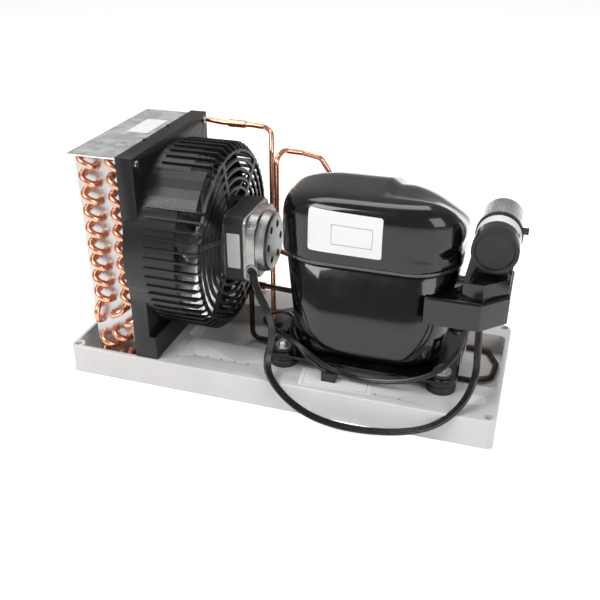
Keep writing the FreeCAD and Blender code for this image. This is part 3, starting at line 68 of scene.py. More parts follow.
class UnitFinishes(PropertyGroup):
    tray_colour: FloatVectorProperty(
        name="Tray", description="Moulded base tray", subtype="COLOR", size=4,
        default=(0.72, 0.705, 0.695, 1))
    shell_colour: FloatVectorProperty(
        name="Compressor", description="Gloss paint of the compressor", subtype="COLOR", size=4,
        default=(0.0035, 0.0032, 0.0034, 1))
    moulding_colour: FloatVectorProperty(
        name="Black mouldings", description="Shroud, guard and covers", subtype="COLOR", size=4,
        default=(0.0085, 0.0082, 0.0082, 1))
    copper_colour: FloatVectorProperty(
        name="Copper", description="Bends and pipes", subtype="COLOR", size=4,
        default=(0.86, 0.42, 0.27, 1))
    tube_radius: FloatProperty(
        name="Tube radius", description="Outside radius of the condenser tube",
        default=3.75 * MM, min=0, subtype="DISTANCE")
    tube_sides: IntProperty(
        name="Tube sides", description="Sides of a condenser bend", default=16, min=8)


class StageSettings(PropertyGroup):
    key_power: FloatProperty(
        name="Key light", description="Large soft light above and to the left", default=24, min=0,
        subtype="POWER")
    fill_power: FloatProperty(
        name="Fill light", description="Soft lights from the right and from above", default=13, min=0,
        subtype="POWER")
    surroundings_light: FloatProperty(
        name="Surroundings", description="Strength of the light that comes from all round",
        default=0.3, min=0)
    floor_glow: FloatProperty(
        name="Floor glow", description="Light of the floor's own, for the camera and for gloss",
        default=0.66, min=0)
    mirrored_white: FloatProperty(
        name="Mirrored white", description="Share of the white surroundings that gloss mirrors",
        default=0.06, min=0, max=1)
    floor_colour: FloatVectorProperty(
        name="Floor", description="Plain pale floor", subtype="COLOR", size=4,
        default=(0.86, 0.86, 0.86, 1))
    lens: FloatProperty(
        name="Lens", description="Focal length of the camera in millimetres", default=47.78, min=1)


# Materials

class Value:
    """A socket of a material, so that shader maths reads as Python."""

    def __init__(self, paint, socket):
        self.paint = paint
        self.socket = socket

    def sibling(self, output):
        """Another output of the same node."""
        return Value(self.paint, self.socket.node.outputs[output])

    def maths(self, operation, first, second):
        return self.paint.node("ShaderNodeMath", {"operation": operation}, {0: first, 1: second})

    def __add__(self, other):
        return self.maths("ADD", self, other)

    def __sub__(self, other):
        return self.maths("SUBTRACT", self, other)

    def __rsub__(self, other):
        return self.maths("SUBTRACT", other, self)

    def __mul__(self, other):
        return self.maths("MULTIPLY", self, other)

    def __gt__(self, other):
        return self.maths("GREATER_THAN", self, other)

    def __lt__(self, other):
        return self.maths("LESS_THAN", self, other)


class Paint:
    """A material under construction. Every node comes from its node method."""
    output_kind = "ShaderNodeOutputMaterial"

    def __init__(self, name):
        self.block = self.new_block(name)
        self.block.use_nodes = True
        self.tree = self.block.node_tree
        self.tree.nodes.clear()

    def new_block(self, name):
        return bpy.data.materials.new(name)

    def node(self, kind, settings=None, inputs=None, output=0):
        made = self.tree.nodes.new(kind)
        for name, setting in (settings or {}).items():
            setattr(made, name, setting)
        for name, value in (inputs or {}).items():
            if isinstance(value, Value):
                self.tree.links.new(value.socket, made.inputs[name])
            else:
                made.inputs[name].default_value = value
        return None if output is None else Value(self, made.outputs[output])

    def place(self, stretch=(1, 1, 1)):
        where = self.node("ShaderNodeTexCoord", output=3)
        return self.node("ShaderNodeMapping", None, {"Vector": where, "Scale": stretch})

    def noise(self, size, detail=3, stretch=(1, 1, 1)):
        """Noise from 0 to 1 whose blotches are about size millimetres across."""
        return self.node("ShaderNodeTexNoise", None, {
            "Vector": self.place(stretch), "Scale": 1 / (size * MM), "Detail": detail})

    def ramp(self, value, low, high):
        """0 below low, 1 above high, and straight between them."""
        return self.node("ShaderNodeMapRange", {"clamp": True}, {
            "Value": value, "From Min": low, "From Max": high, "To Min": 0.0, "To Max": 1.0})

    def between(self, noise, low, high):
        """From low to high over the middle of a noise, where nearly all of it lies."""
        return self.node("ShaderNodeMapRange", {"clamp": True}, {
            "Value": noise, "From Min": 0.3, "From Max": 0.7, "To Min": low, "To Max": high})

    def mix(self, factor, first, second):
        """The first colour where factor is 0 and the second where it is 1."""
        return self.node("ShaderNodeMix", {"data_type": "RGBA"}, {0: factor, 6: first, 7: second},
                         output=2)

    def bump(self, height, depth):
        """A normal bent by height; depth is in millimetres."""
        return self.node("ShaderNodeBump", None, {"Height": height, "Distance": depth * MM})

    def surface(self, **inputs):
        names = {"colour": "Base Color", "roughness": "Roughness", "metallic": "Metallic",
                 "coat": "Coat Weight", "normal": "Normal", "coat_roughness": "Coat Roughness",
                 "specular": "Specular IOR Level"}
        shader = self.node("ShaderNodeBsdfPrincipled", None,
                           {names[name]: value for name, value in inputs.items()})
        self.node_out(shader)
        return self.block

    def node_out(self, shader):
        self.node(self.output_kind, None, {"Surface": shader}, output=None)


class Surroundings(Paint):
    """The world under construction, made of nodes in the same way as a material."""
    output_kind = "ShaderNodeOutputWorld"

    def new_block(self, name):
        return bpy.data.worlds.new(name)


def rgba(red, green, blue):
    return (red, green, blue, 1.0)


def darker(colour, share):
    return rgba(*[part * share for part in colour[:3]])


def finishes():
    return bpy.context.scene.unit_finishes


def moulded(name, colour, roughness, grain=0.03):
    """Injection-moulded plastic with a fine grain."""
    paint = Paint(name)
    cloud = paint.noise(35, 4)
    speck = paint.noise(2.2, 2)
    colour = tuple(colour)
    shade = paint.mix(paint.ramp(cloud, 0.35, 0.75), colour, darker(colour, 0.93))
    return paint.surface(colour=shade, roughness=paint.between(speck, roughness - 0.04, roughness + 0.06),
                         normal=paint.bump(speck, grain), specular=0.4)


def gloss_paint(name, colour, roughness):
    """Thick gloss paint over pressed steel: a soft orange peel and slightly cloudy gloss."""
    paint = Paint(name)
    peel = paint.noise(2.6, 1)
    waves = paint.noise(38, 2)
    cloud = paint.noise(16, 5)
    shade = paint.mix(paint.ramp(cloud, 0.5, 0.85), tuple(colour), rgba(0.012, 0.010, 0.009))
    return paint.surface(colour=shade, roughness=paint.between(cloud, roughness, roughness + 0.12),
                         specular=0.2, coat=0.7, coat_roughness=0.04,
                         normal=paint.bump(peel * 0.12 + waves, 0.3))


def bare_metal(name, colour, roughness, grain=0.02, stretch=(1, 1, 1), stain=0.8, blotch=9):
    """Bare metal: fine drawing lines or grain, and blotches that dull it."""
    paint = Paint(name)
    lines = paint.noise(1.2, 2, stretch)
    cloud = paint.noise(blotch, 4)
    colour = tuple(colour)
    shade = paint.mix(paint.ramp(cloud, 0.42, 0.72), colour, darker(colour, stain))
    return paint.surface(colour=shade, metallic=1.0,
                         roughness=paint.between(lines, roughness - 0.06, roughness + 0.08),
                         normal=paint.bump(lines, grain))


def copper(name, colour):
    """Drawn copper tube with heat marks."""
    paint = Paint(name)
    cloud = paint.noise(7, 4)
    heat = paint.noise(24, 2)
    colour = tuple(colour)
    shade = paint.mix(paint.ramp(cloud, 0.5, 0.78), colour, rgba(0.42, 0.17, 0.10))
    shade = paint.mix(paint.ramp(heat, 0.55, 0.8) * 0.5, shade, rgba(0.62, 0.25, 0.2))
    return paint.surface(colour=shade, metallic=1.0, roughness=paint.between(cloud, 0.2, 0.36),
                         normal=paint.bump(cloud, 0.02))


def galvanised(name, dark, light):
    """Zinc-coated sheet with its spangle."""
    paint = Paint(name)
    spangle = paint.node("ShaderNodeTexVoronoi", {"feature": "F1"}, {
        "Vector": paint.place(), "Scale": 1 / (9 * MM)}, output=1)
    grey = paint.node("ShaderNodeSeparateColor", None, {0: spangle})
    shade = paint.mix(grey, rgba(dark, dark, dark), rgba(light, light, light))
    return paint.surface(colour=shade, metallic=1.0, roughness=grey * 0.1 + 0.33,
                         normal=paint.bump(paint.noise(3, 2), 0.01))


def stacked(name, colour, pitch):
    """Lamination stack: thin sheets one after another along X."""
    paint = Paint(name)
    where = paint.node("ShaderNodeSeparateXYZ", None, {0: paint.place()})
    sheets = paint.node("ShaderNodeMath", {"operation": "SINE"}, {0: where * (math.tau / (pitch * MM))})
    shade = paint.mix(paint.ramp(sheets, -0.6, 0.8), darker(colour, 0.5), colour)
    return paint.surface(colour=shade, roughness=0.5, normal=paint.bump(sheets, 0.06))


def weld_bead(name):
    """A painted weld: close ripples over the bead."""
    paint = Paint(name)
    ripples = paint.noise(2.4, 3)
    return paint.surface(colour=rgba(0.02, 0.019, 0.018), roughness=paint.between(ripples, 0.12, 0.3),
                         coat=1.0, normal=paint.bump(ripples, 1.6))


def plain(name, colour, roughness, metallic=0.0, grain=0.0):
    """One colour with faint clouds, and a fine grain where one is given."""
    paint = Paint(name)
    cloud = paint.noise(12, 3)
    shade = paint.mix(paint.ramp(cloud, 0.3, 0.8), tuple(colour), darker(colour, 0.9))
    inputs = {"colour": shade, "roughness": paint.between(cloud, roughness, roughness + 0.07),
              "metallic": metallic}
    if grain:
        inputs["normal"] = paint.bump(paint.noise(1.5, 2), grain)
    return paint.surface(**inputs)


PAINTS = {}


def make_paints():
    own = finishes()
    PAINTS.update({
        "tray": moulded("tray", own.tray_colour, 0.42),
        "moulding": moulded("moulding", own.moulding_colour, 0.36),
        "gloss_moulding": gloss_paint("gloss_moulding", own.shell_colour, 0.12),
        "shell": gloss_paint("shell", own.shell_colour, 0.14),
        "weld": weld_bead("weld"),
        "copper": copper("copper", own.copper_colour),
        "fins": bare_metal("fins", rgba(0.58, 0.59, 0.60), 0.36, stretch=(1, 1, 0.05)),
        # The top plate's zinc is painted lighter than the end plates' zinc: over its real spangle, a
        # painted reflection of the soft lights above.
        "galvanised": galvanised("galvanised", 0.82, 0.92),
        "end_plate": galvanised("end_plate", 0.48, 0.56),
        "blade": bare_metal("blade", rgba(0.70, 0.71, 0.72), 0.3, stretch=(1, 1, 0.1)),
        "steel": bare_metal("steel", rgba(0.62, 0.62, 0.63), 0.28),
        "zinc": bare_metal("zinc", rgba(0.68, 0.69, 0.70), 0.3, blotch=3),
        "stack": stacked("stack", rgba(0.03, 0.03, 0.033), 1.0),
        "winding": plain("winding", rgba(0.42, 0.13, 0.04), 0.32, 0.6, 0.2),
        "cast": bare_metal("cast", rgba(0.40, 0.39, 0.38), 0.42, grain=0.08, stain=0.82),
        "bronze": bare_metal("bronze", rgba(0.5, 0.32, 0.14), 0.4),
        "rubber": plain("rubber", rgba(0.016, 0.016, 0.016), 0.55, 0.0, 0.04),
        "iron": plain("iron", rgba(0.12, 0.12, 0.12), 0.5, 0.8, 0.1),
        "bakelite": moulded("bakelite", rgba(0.03, 0.029, 0.028), 0.34),
        "can": bare_metal("can", rgba(0.86, 0.86, 0.87), 0.24, stretch=(1, 0.04, 1), stain=0.9),
        "tie": plain("tie", rgba(0.012, 0.012, 0.012), 0.35),
        "dark_pipe": bare_metal("dark_pipe", rgba(0.09, 0.06, 0.045), 0.34, stain=0.5),
        "red": plain("red", rgba(0.55, 0.03, 0.015), 0.4),
        "jacket": plain("jacket", rgba(0.008, 0.008, 0.008), 0.24, 0.0, 0.02),
        "label": plain("label", rgba(0.80, 0.80, 0.79), 0.42),
    })


# Pieces

def add_piece(name, mesh, paint, body=UNIT, angle=32, stands_for=(), rounding=0.0):
    """A shaded piece on a body. Edges above angle degrees stay sharp or take the rounding."""
    made = bpy.data.objects.new(name, mesh)
    bpy.context.scene.collection.objects.link(made)
    mesh.materials.clear()
    mesh.materials.append(PAINTS[paint])
    mesh.polygons.foreach_set("use_smooth", [True] * len(mesh.polygons))
    mesh.set_sharp_from_angle(angle=math.radians(angle))
    if rounding:
        rounded = made.modifiers.new("Rounding", "BEVEL")
        rounded.width = rounding
        rounded.segments = 2
        rounded.limit_method = "ANGLE"
        rounded.angle_limit = math.radians(angle)
        rounded.harden_normals = True
    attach(made, body)
    if stands_for:
        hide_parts(*stands_for)
    return made


def from_bmesh(name, work, paint, **options):
    mesh = bpy.data.meshes.new(name)
    work.to_mesh(mesh)
    work.free()
    return add_piece(name, mesh, paint, **options)


def sleeve(name, node, start, end, paint, lift=0.16):
    """A thin band round a CAD cylinder along Y; start and end are millimetres from its front."""
    low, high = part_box(node)
    middle = Vector(((low.x + high.x) / 2, low.y + (start + end) / 2 * MM, (low.z + high.z) / 2))
    radius = (high.x - low.x) / 2 + lift * MM
    thickness = lift * 0.8 * MM
    work = bmesh.new()
    bmesh.ops.create_cone(work, cap_ends=False, segments=72, radius1=radius, radius2=radius,
                          depth=(end - start) * MM,
                          matrix=Matrix.Translation(middle) @ Matrix.Rotation(math.pi / 2, 4, "X"))
    bmesh.ops.solidify(work, geom=work.faces[:], thickness=thickness)
    bmesh.ops.recalc_face_normals(work, faces=work.faces[:])
    return from_bmesh(name, work, paint)


def stud(name, place, toward, radius, depth, paint, rounding):
    """A short round piece that stands on a place; radius and depth are in millimetres."""
    work = bmesh.new()
    turned = toward.to_track_quat("Z", "Y").to_matrix().to_4x4()
    bmesh.ops.create_cone(work, cap_ends=True, segments=32, radius1=radius * MM, radius2=radius * MM,
                          depth=depth * MM,
                          matrix=Matrix.Translation(place + toward * depth / 2 * MM) @ turned)
    return from_bmesh(name, work, paint, rounding=rounding)


def finished_copy(node, paint, angle=32, rounding=0.0, body=UNIT):
    """A merged copy of a CAD node that takes its finish, smooth across its curved faces."""
    work = bmesh.new()
    work.from_mesh(NODES[node].data)
    bmesh.ops.remove_doubles(work, verts=work.verts, dist=1e-6)
    return from_bmesh(node + "_finish", work, paint, body=body, angle=angle, rounding=rounding,
                      stands_for=[node])


def painted_node(node, paint):
    """Gives a CAD node its material and leaves its shape alone."""
    NODES[node].data.materials.clear()
    NODES[node].data.materials.append(PAINTS[paint])


PAINTED_NODES = {
    "compressor_springs": "steel", "compressor_stator": "stack", "compressor_rotor": "steel",
    "compressor_crankshaft": "steel", "compressor_block": "iron", "compressor_head": "iron",
    "compressor_piston": "steel", "connecting_rod": "cast", "motor_rotor": "steel",
    "motor_coils": "winding", "start_relay": "bakelite", "terminal_base": "bakelite",
    "motor_bearings": "bronze", "fan_lead": "jacket", "supply_lead": "jacket",
    "return_bends_front": "copper", "return_bends_rear": "copper",
}


class PaintInnerNodes(Operator):
    """Materials of the CAD pieces that are hidden or that other pieces stand for"""
    bl_idname = "unit.paint_inner"
    bl_label = "Inner pieces"

    def execute(self, context):
        for node, paint in PAINTED_NODES.items():
            painted_node(node, paint)
        return {"FINISHED"}


class FinishTray(Operator):
    """Base tray with softened edges"""
    bl_idname = "unit.finish_tray"
    bl_label = "Base tray"

    def execute(self, context):
        finished_copy("base_tray", "tray", rounding=0.5 * MM)
        return {"FINISHED"}


class FinishCondenser(Operator):
    """Fin pack, end plates and top plate"""
    bl_idname = "unit.finish_condenser"
    bl_label = "Condenser"

    def execute(self, context):
        painted_node("condenser_core", "fins")
        # The top plate's zinc is painted lighter than the end plates', as a painted reflection of the
        # lights above.
        finished_copy("condenser_top_plate", "galvanised", rounding=0.2 * MM)
        for node in ("condenser_end_plate_front", "condenser_end_plate_rear"):
            finished_copy(node, "end_plate", rounding=0.2 * MM)
        return {"FINISHED"}


def tube_spot(row, number):
    """Place across and up of a condenser tube; even rows lie half a pitch lower."""
    low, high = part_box("return_bends_front")
    radius = finishes().tube_radius
    across = low.x + radius + (row - 1) * TUBE_ROW_PITCH
    up = high.z - radius - number * TUBE_PITCH - (TUBE_PITCH / 2 if row % 2 == 0 else 0)
    return across, up


TUBE_ROW_PITCH = 16.8 * MM
TUBE_PITCH = 20 * MM
BEND_LEG = 2 * MM
CUP_DEPTH = 2.4 * MM
CUP_MOUTH = 0.9 * MM
CUP_NECK = 0.1 * MM
FRONT_PAIRS = [((odd, k), (odd + 1, k)) for k in range(9) for odd in (1, 3)] + [
    ((1, 9), (1, 10)), ((2, 9), (3, 9)), ((3, 10), (4, 9)), ((2, 10), (3, 11)),
    ((1, 11), (2, 11)), ((4, 10), (4, 11)), ((1, 12), (2, 12)), ((3, 12), (4, 12))]
REAR_PAIRS = [((even, k), (even - 1, k + 1)) for k in range(12) for even in (2, 4)]


def add_bend(work, start, end, face, outward, radius, sides):
    """One return bend: a ring of the tube, its leg, the half turn and the other leg."""
    first = Vector((start[0], face, start[1]))
    last = Vector((end[0], face, end[1]))
    leg = Vector((0, outward * BEND_LEG, 0))
    middle = (first + last) / 2 + leg
    chord = (last - first).normalized()
    turn = Vector((0, outward, 0)).cross(chord).normalized()
    stand = Matrix.Translation(first) @ Matrix.Rotation(math.pi / 2, 4, "X")
    ring = bmesh.ops.create_circle(work, segments=sides, radius=radius, matrix=stand)["verts"]
    edges = list({edge for vert in ring for edge in vert.link_edges})

    def onward(edges, step):
        made = bmesh.ops.extrude_edge_only(work, edges=edges)["geom"]
        verts = [part for part in made if isinstance(part, bmesh.types.BMVert)]
        bmesh.ops.translate(work, verts=verts, vec=step)
        return [part for part in made if isinstance(part, bmesh.types.BMEdge)
                and all(vert in verts for vert in part.verts)]

    edges = onward(edges, leg)
    verts = list({vert for edge in edges for vert in edge.verts})
    made = bmesh.ops.spin(work, geom=verts + edges, cent=middle, axis=turn, dvec=(0, 0, 0),
                          angle=math.pi, steps=14, use_merge=False, use_duplicate=False)
    edges = [part for part in made["geom_last"] if isinstance(part, bmesh.types.BMEdge)]
    onward(edges, -leg)


class FormBends(Operator):
    """Return bends of the condenser, with a brazed cup at every tube end"""
    bl_idname = "unit.form_bends"
    bl_label = "Return bends"

    def execute(self, context):
        own = finishes()
        for name, pairs, plate, outward in (
                ("return_bends_front", FRONT_PAIRS, "condenser_end_plate_front", -1),
                ("return_bends_rear", REAR_PAIRS, "condenser_end_plate_rear", 1)):
            low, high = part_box(plate)
            face = low.y if outward < 0 else high.y
            work = bmesh.new()
            cups = bmesh.new()
            for pair in pairs:
                start, end = [tube_spot(*place) for place in pair]
                add_bend(work, start, end, face, outward, own.tube_radius, own.tube_sides)
                for across, up in (start, end):
                    middle = Matrix.Translation((across, face + outward * CUP_DEPTH / 2, up))
                    bmesh.ops.create_cone(
                        cups, cap_ends=False, segments=own.tube_sides,
                        radius1=own.tube_radius + CUP_MOUTH, radius2=own.tube_radius + CUP_NECK,
                        depth=CUP_DEPTH, matrix=middle @ Matrix.Rotation(math.pi / 2 * -outward, 4, "X"))
            bmesh.ops.recalc_face_normals(work, faces=work.faces)
            bmesh.ops.recalc_face_normals(cups, faces=cups.faces)
            from_bmesh(name + "_tubes", work, "copper", angle=50, stands_for=[name])
            from_bmesh(name + "_cups", cups, "copper", angle=40)
        return {"FINISHED"}


class FinishFan(Operator):
    """Shroud, guard, blades, bush and shaft"""
    bl_idname = "unit.finish_fan"
    bl_label = "Shroud and fan"

    def execute(self, context):
        finished_copy("fan_shroud", "moulding", rounding=0.5 * MM)
        finished_copy("fan_guard", "moulding", angle=25)
        finished_copy("shroud_screws", "zinc", rounding=0.3 * MM)
        finished_copy("fan_blades", "blade", body=FAN)
        finished_copy("fan_bush", "steel", body=FAN, rounding=0.3 * MM)
        finished_copy("fan_shaft", "steel", body=FAN)
        return {"FINISHED"}


class FinishMotor(Operator):
    """Stator and bells of the fan motor, and the boss that its lead comes out of"""
    bl_idname = "unit.finish_motor"
    bl_label = "Fan motor"

    def execute(self, context):
        finished_copy("motor_stator", "stack")
        finished_copy("motor_front_bell", "cast", rounding=1.3 * MM)
        finished_copy("motor_rear_bell", "cast", rounding=0.4 * MM)
        to_front = Vector((0, -1, 0))
        stud("motor_lead_boss", spot(214, 67, 137), to_front, 8, 8, "cast", 1.5 * MM)
        stud("motor_lead_grommet", spot(214, 60, 137), to_front, 5.6, 1.6, "rubber", 0.5 * MM)
        return {"FINISHED"}


FAR_OUTSIDE = 0.4


def ray_target(piece):
    """The surface of a piece, ready for rays to be cast at it."""
    mesh = piece.data
    return BVHTree.FromPolygons([vert.co for vert in mesh.vertices],
                                [list(face.vertices) for face in mesh.polygons])


def eased(start, end, value):
    """Smooth step from nought at start to one at end, which may be the smaller number."""
    share = min(max((value - start) / (end - start), 0.0), 1.0)
    return share * share * (3 - 2 * share)


# The pressed top of the compressor, in millimetres from the middle of its seam
DOME_HALF_LENGTH = 98.5
DOME_HALF_WIDTH = 76.5
DOME_PLAN_POWER = 3.4
DOME_SHOULDER_POWER = 7
DOME_TOP = 68
REAR_FALL = 16
STEP_FALL = 6
REAR_RIGHT_FALL = 20
RIGHT_FALL = 4
LEFT_FALL = 5
DOME_BLEND = (5, 24)
DOME_WALL = 3 * MM
HALVINGS = 26


def crown_height(x, y):
    """Height of the pressed top above the seam: one field with a step, which falls to its sides."""
    behind = eased(-50, -25, y)
    return (DOME_TOP - REAR_FALL * eased(0, 70, y) - STEP_FALL * eased(9, 22, x) * behind
            - REAR_RIGHT_FALL * eased(30, 100, x) * eased(-50, 10, y)
            - RIGHT_FALL * eased(60, 104, x) - LEFT_FALL * eased(-40, -98, x))


def pressed_reach(toward, cad_reach):
    """How far the pressed dome reaches in one direction, found by halving near the CAD reach."""
    near, far = 0.2 * cad_reach, 1.5 * cad_reach
    for _ in range(HALVINGS):
        reach = (near + far) / 2
        x, y, z = (part * reach / MM for part in toward)
        side = ((abs(x) / DOME_HALF_LENGTH) ** DOME_PLAN_POWER
                + (abs(y) / DOME_HALF_WIDTH) ** DOME_PLAN_POWER) ** (1 / DOME_PLAN_POWER)
        rise = z / crown_height(x, y)
        inside = side ** DOME_SHOULDER_POWER + rise ** DOME_SHOULDER_POWER < 1
        near, far = (reach, far) if inside else (near, reach)
    return near


def pressed_dome():
    """The dome's upright wall, shoulder and raised top field, over the outline of the CAD dome."""
    surface = ray_target(NODES["compressor_dome"])
    low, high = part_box("compressor_dome")
    middle = Vector(((low.x + high.x) / 2, (low.y + high.y) / 2, low.z))
    work = bmesh.new()
    bmesh.ops.create_uvsphere(work, u_segments=160, v_segments=128, radius=1)
    below = [vert for vert in work.verts if vert.co.z < -1e-4]
    bmesh.ops.delete(work, geom=below, context="VERTS")
    for vert in work.verts:
        toward = vert.co.normalized()
        aim = Vector((toward.x, toward.y, max(toward.z, 0.01))).normalized()
        hit = surface.ray_cast(middle + aim * FAR_OUTSIDE, -aim)[0]
        cad_reach = (hit - middle).length
        reach = pressed_reach(toward, cad_reach)
        share = eased(*DOME_BLEND, toward.z * reach / MM)
        vert.co = middle + toward * (cad_reach + (reach - cad_reach) * share)
    made = from_bmesh("compressor_dome_finish", work, "shell", angle=50,
                      stands_for=["compressor_dome"])
    wall = made.modifiers.new("Wall", "SOLIDIFY")
    wall.thickness = DOME_WALL
    wall.offset = -1


class FinishCompressor(Operator):
    """Pressed dome, lower shell, weld, brackets and feet of the compressor"""
    bl_idname = "unit.finish_compressor"
    bl_label = "Compressor"

    def execute(self, context):
        pressed_dome()
        finished_copy("compressor_lower_shell", "shell", angle=50)
        finished_copy("compressor_weld", "weld", rounding=0.8 * MM)
        for node in ("mounting_bracket_left", "mounting_bracket_right"):
            finished_copy(node, "shell", rounding=0.4 * MM)
        finished_copy("rubber_feet", "rubber", rounding=0.4 * MM)
        for node in ("foot_sleeves", "foot_studs", "foot_washers", "foot_nuts"):
            finished_copy(node, "zinc", rounding=0.2 * MM)
        return {"FINISHED"}


class FinishElectrics(Operator):
    """Terminal cover, start capacitor with its bands, cradle and tie, and the supply connector"""
    bl_idname = "unit.finish_electrics"
    bl_label = "Terminal cover and capacitor"

    def execute(self, context):
        finished_copy("terminal_cover", "gloss_moulding", rounding=2.2 * MM)
        finished_copy("hermetic_terminal", "steel")
        finished_copy("capacitor_can", "can", rounding=0.6 * MM)
        sleeve("capacitor_sleeve", "capacitor_can", 2.5, 17, "gloss_moulding")
        sleeve("capacitor_label", "capacitor_can", 17.4, 33, "label")
        finished_copy("capacitor_cap", "moulding", rounding=0.6 * MM)
        finished_copy("capacitor_bracket", "bakelite", rounding=0.5 * MM)
        finished_copy("capacitor_tie", "tie", rounding=0.2 * MM)
        finished_copy("supply_connector", "bakelite", rounding=0.8 * MM)
        return {"FINISHED"}


class FinishPipes(Operator):
    """Copper and steel pipes"""
    bl_idname = "unit.finish_pipes"
    bl_label = "Pipes"

    def execute(self, context):
        for node in ("condenser_inlet_pipe", "inlet_sleeve", "liquid_outlet_pipe", "suction_pipe"):
            finished_copy(node, "copper", angle=40)
        finished_copy("discharge_pipe", "dark_pipe", angle=40)
        finished_copy("outlet_plug", "red", rounding=0.5 * MM)
        return {"FINISHED"}


# Labels

LABEL_RUN_UP = 0.2


def wrap_on(node, corners, sideways, name, paint, corner=2.5, lift=0.2, steps=(60, 30)):
    """A plain label laid over a node's surface. Its corners go round from the lower left one."""
    surface = ray_target(bpy.data.objects.get(node + "_finish", NODES[node]))
    low_left, low_right, top_right, top_left = [spot(*place) for place in corners]
    half = Vector(((low_right - low_left).length / 2, (top_left - low_left).length / 2))
    work = bmesh.new()
    bmesh.ops.create_grid(work, x_segments=steps[0], y_segments=steps[1], size=1, calc_uvs=True)
    uv = work.loops.layers.uv.verify()
    for face in work.faces:
        for loop in face.loops:
            loop[uv].uv = ((loop.vert.co.x + 1) / 2, (loop.vert.co.y + 1) / 2)
    for vert in work.verts:
        across, up = vert.co.x * half.x, vert.co.y * half.y
        over = Vector((abs(across) - half.x + corner * MM, abs(up) - half.y + corner * MM))
        if over.x > 0 and over.y > 0:
            over *= max(over) / over.length
            across = math.copysign(half.x - corner * MM + over.x, across)
            up = math.copysign(half.y - corner * MM + over.y, up)
        right, high = (across / half.x + 1) / 2, (up / half.y + 1) / 2
        low = low_left.lerp(low_right, right)
        flat = low.lerp(top_left.lerp(top_right, right), high)
        hit, normal = surface.ray_cast(flat - sideways * LABEL_RUN_UP, sideways)[:2]
        if hit is None:
            raise RuntimeError("the label " + name + " misses " + node)
        vert.co = hit + normal * (lift * MM if normal.dot(sideways) < 0 else -lift * MM)
    bmesh.ops.recalc_face_normals(work, faces=work.faces)
    if sum((face.normal.dot(sideways) for face in work.faces)) > 0:
        bmesh.ops.reverse_faces(work, faces=work.faces)
    return from_bmesh(name, work, paint, angle=60)


def framed_label(name, ground, line, window):
    """A plain sticker with an empty printed window: its left, low, right, high and line width."""
    paint = Paint(name)
    where = paint.node("ShaderNodeSeparateXYZ", None, {
        0: paint.node("ShaderNodeTexCoord", output=2)})
    up = where.sibling(1)
    left, low, right, high, width = window

    def within(grow):
        return ((where > left - grow) * (where < right + grow)
                * (up > low - grow * 2) * (up < high + grow * 2))

    frame_line = within(width) - within(0.0)
    shade = paint.mix(frame_line, tuple(ground), tuple(line))
    return paint.surface(colour=shade, roughness=0.38, normal=paint.bump(paint.noise(9, 2), 0.03))


class StickLabels(Operator):
    """Plain labels on the compressor, the deck, the fan motor and the top plate"""
    bl_idname = "unit.stick_labels"
    bl_label = "Labels"

    def execute(self, context):
        PAINTS["code_label"] = framed_label("code_label", rgba(0.86, 0.86, 0.85),
                                            rgba(0.08, 0.08, 0.08), (0.33, 0.24, 0.87, 0.70, 0.006))
        PAINTS["deck_label"] = framed_label("deck_label", rgba(0.9, 0.9, 0.91), rgba(0.05, 0.05, 0.05),
                                            (0.06, 0.1, 0.94, 0.9, 0.004))
        to_rear = Vector((0, 1, 0))
        down = Vector((0, 0, -1))
        wrap_on("compressor_dome", [(289, 20, 190), (367, 20, 189), (367, 20, 233), (289, 20, 235)],
                to_rear, "compressor_label", "code_label", corner=3)
        wrap_on("base_tray", [(285, 5, 60), (366, 9, 60), (362, 43, 60), (281, 39, 60)],
                down, "deck_label", "deck_label", corner=2)
        wrap_on("base_tray", [(463, 24, 60), (487, 26, 60), (486, 46, 60), (462, 44, 60)],
                down, "deck_mark", "deck_label", corner=8)
        wrap_on("motor_stator", [(185.5, 20, 139), (201, 20, 139), (201, 20, 181), (185.5, 20, 181)],
                to_rear, "motor_label", "label", corner=0.6, steps=(8, 12))
        wrap_on("condenser_top_plate", [(52, 96, 300), (78, 96, 300), (78, 150, 300), (52, 150, 300)],
                down, "top_plate_label", "label", corner=1.5)
        return {"FINISHED"}


# Leads

def flat_profile(name, width, thick, cores):
    """Outline of a flat lead: a row of round cores that run into each other."""
    curve = bpy.data.curves.new(name, "CURVE")
    curve.dimensions = "2D"
    radius = thick / 2
    step = (width - thick) / (cores - 1)
    points = []
    for side in (1, -1):
        for core in range(cores) if side > 0 else reversed(range(cores)):
            centre = -(width - thick) / 2 + core * step
            for turn in (60, 90, 120):
                angle = math.radians(turn)
                points.append((centre - side * radius * math.cos(angle), side * radius * math.sin(angle)))
            if core == (cores - 1 if side > 0 else 0):
                points.append((centre + side * radius, 0))
    spline = curve.splines.new("POLY")
    spline.points.add(len(points) - 1)
    for point, (across, up) in zip(spline.points, points):
        point.co = (across, up, 0, 1)
    spline.use_cyclic_u = True
    made = bpy.data.objects.new(name, curve)
    bpy.context.scene.collection.objects.link(made)
    made.hide_render = True
    made.hide_viewport = True
    return made


def run_lead(name, points, profile):
    """A lead of the given outline along a smooth run of points in millimetres."""
    curve = bpy.data.curves.new(name, "CURVE")
    curve.dimensions = "3D"
    curve.twist_mode = "MINIMUM"
    curve.bevel_mode = "OBJECT"
    curve.bevel_object = profile
    curve.use_fill_caps = True
    curve.resolution_u = 8
    spline = curve.splines.new("NURBS")
    spline.points.add(len(points) - 1)
    for control, point in zip(spline.points, points):
        control.co = (*spot(*point), 1)
    spline.order_u = 3
    spline.use_endpoint_u = True
    curve.materials.append(PAINTS["jacket"])
    made = bpy.data.objects.new(name, curve)
    bpy.context.scene.collection.objects.link(made)
    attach(made, UNIT)
    return made


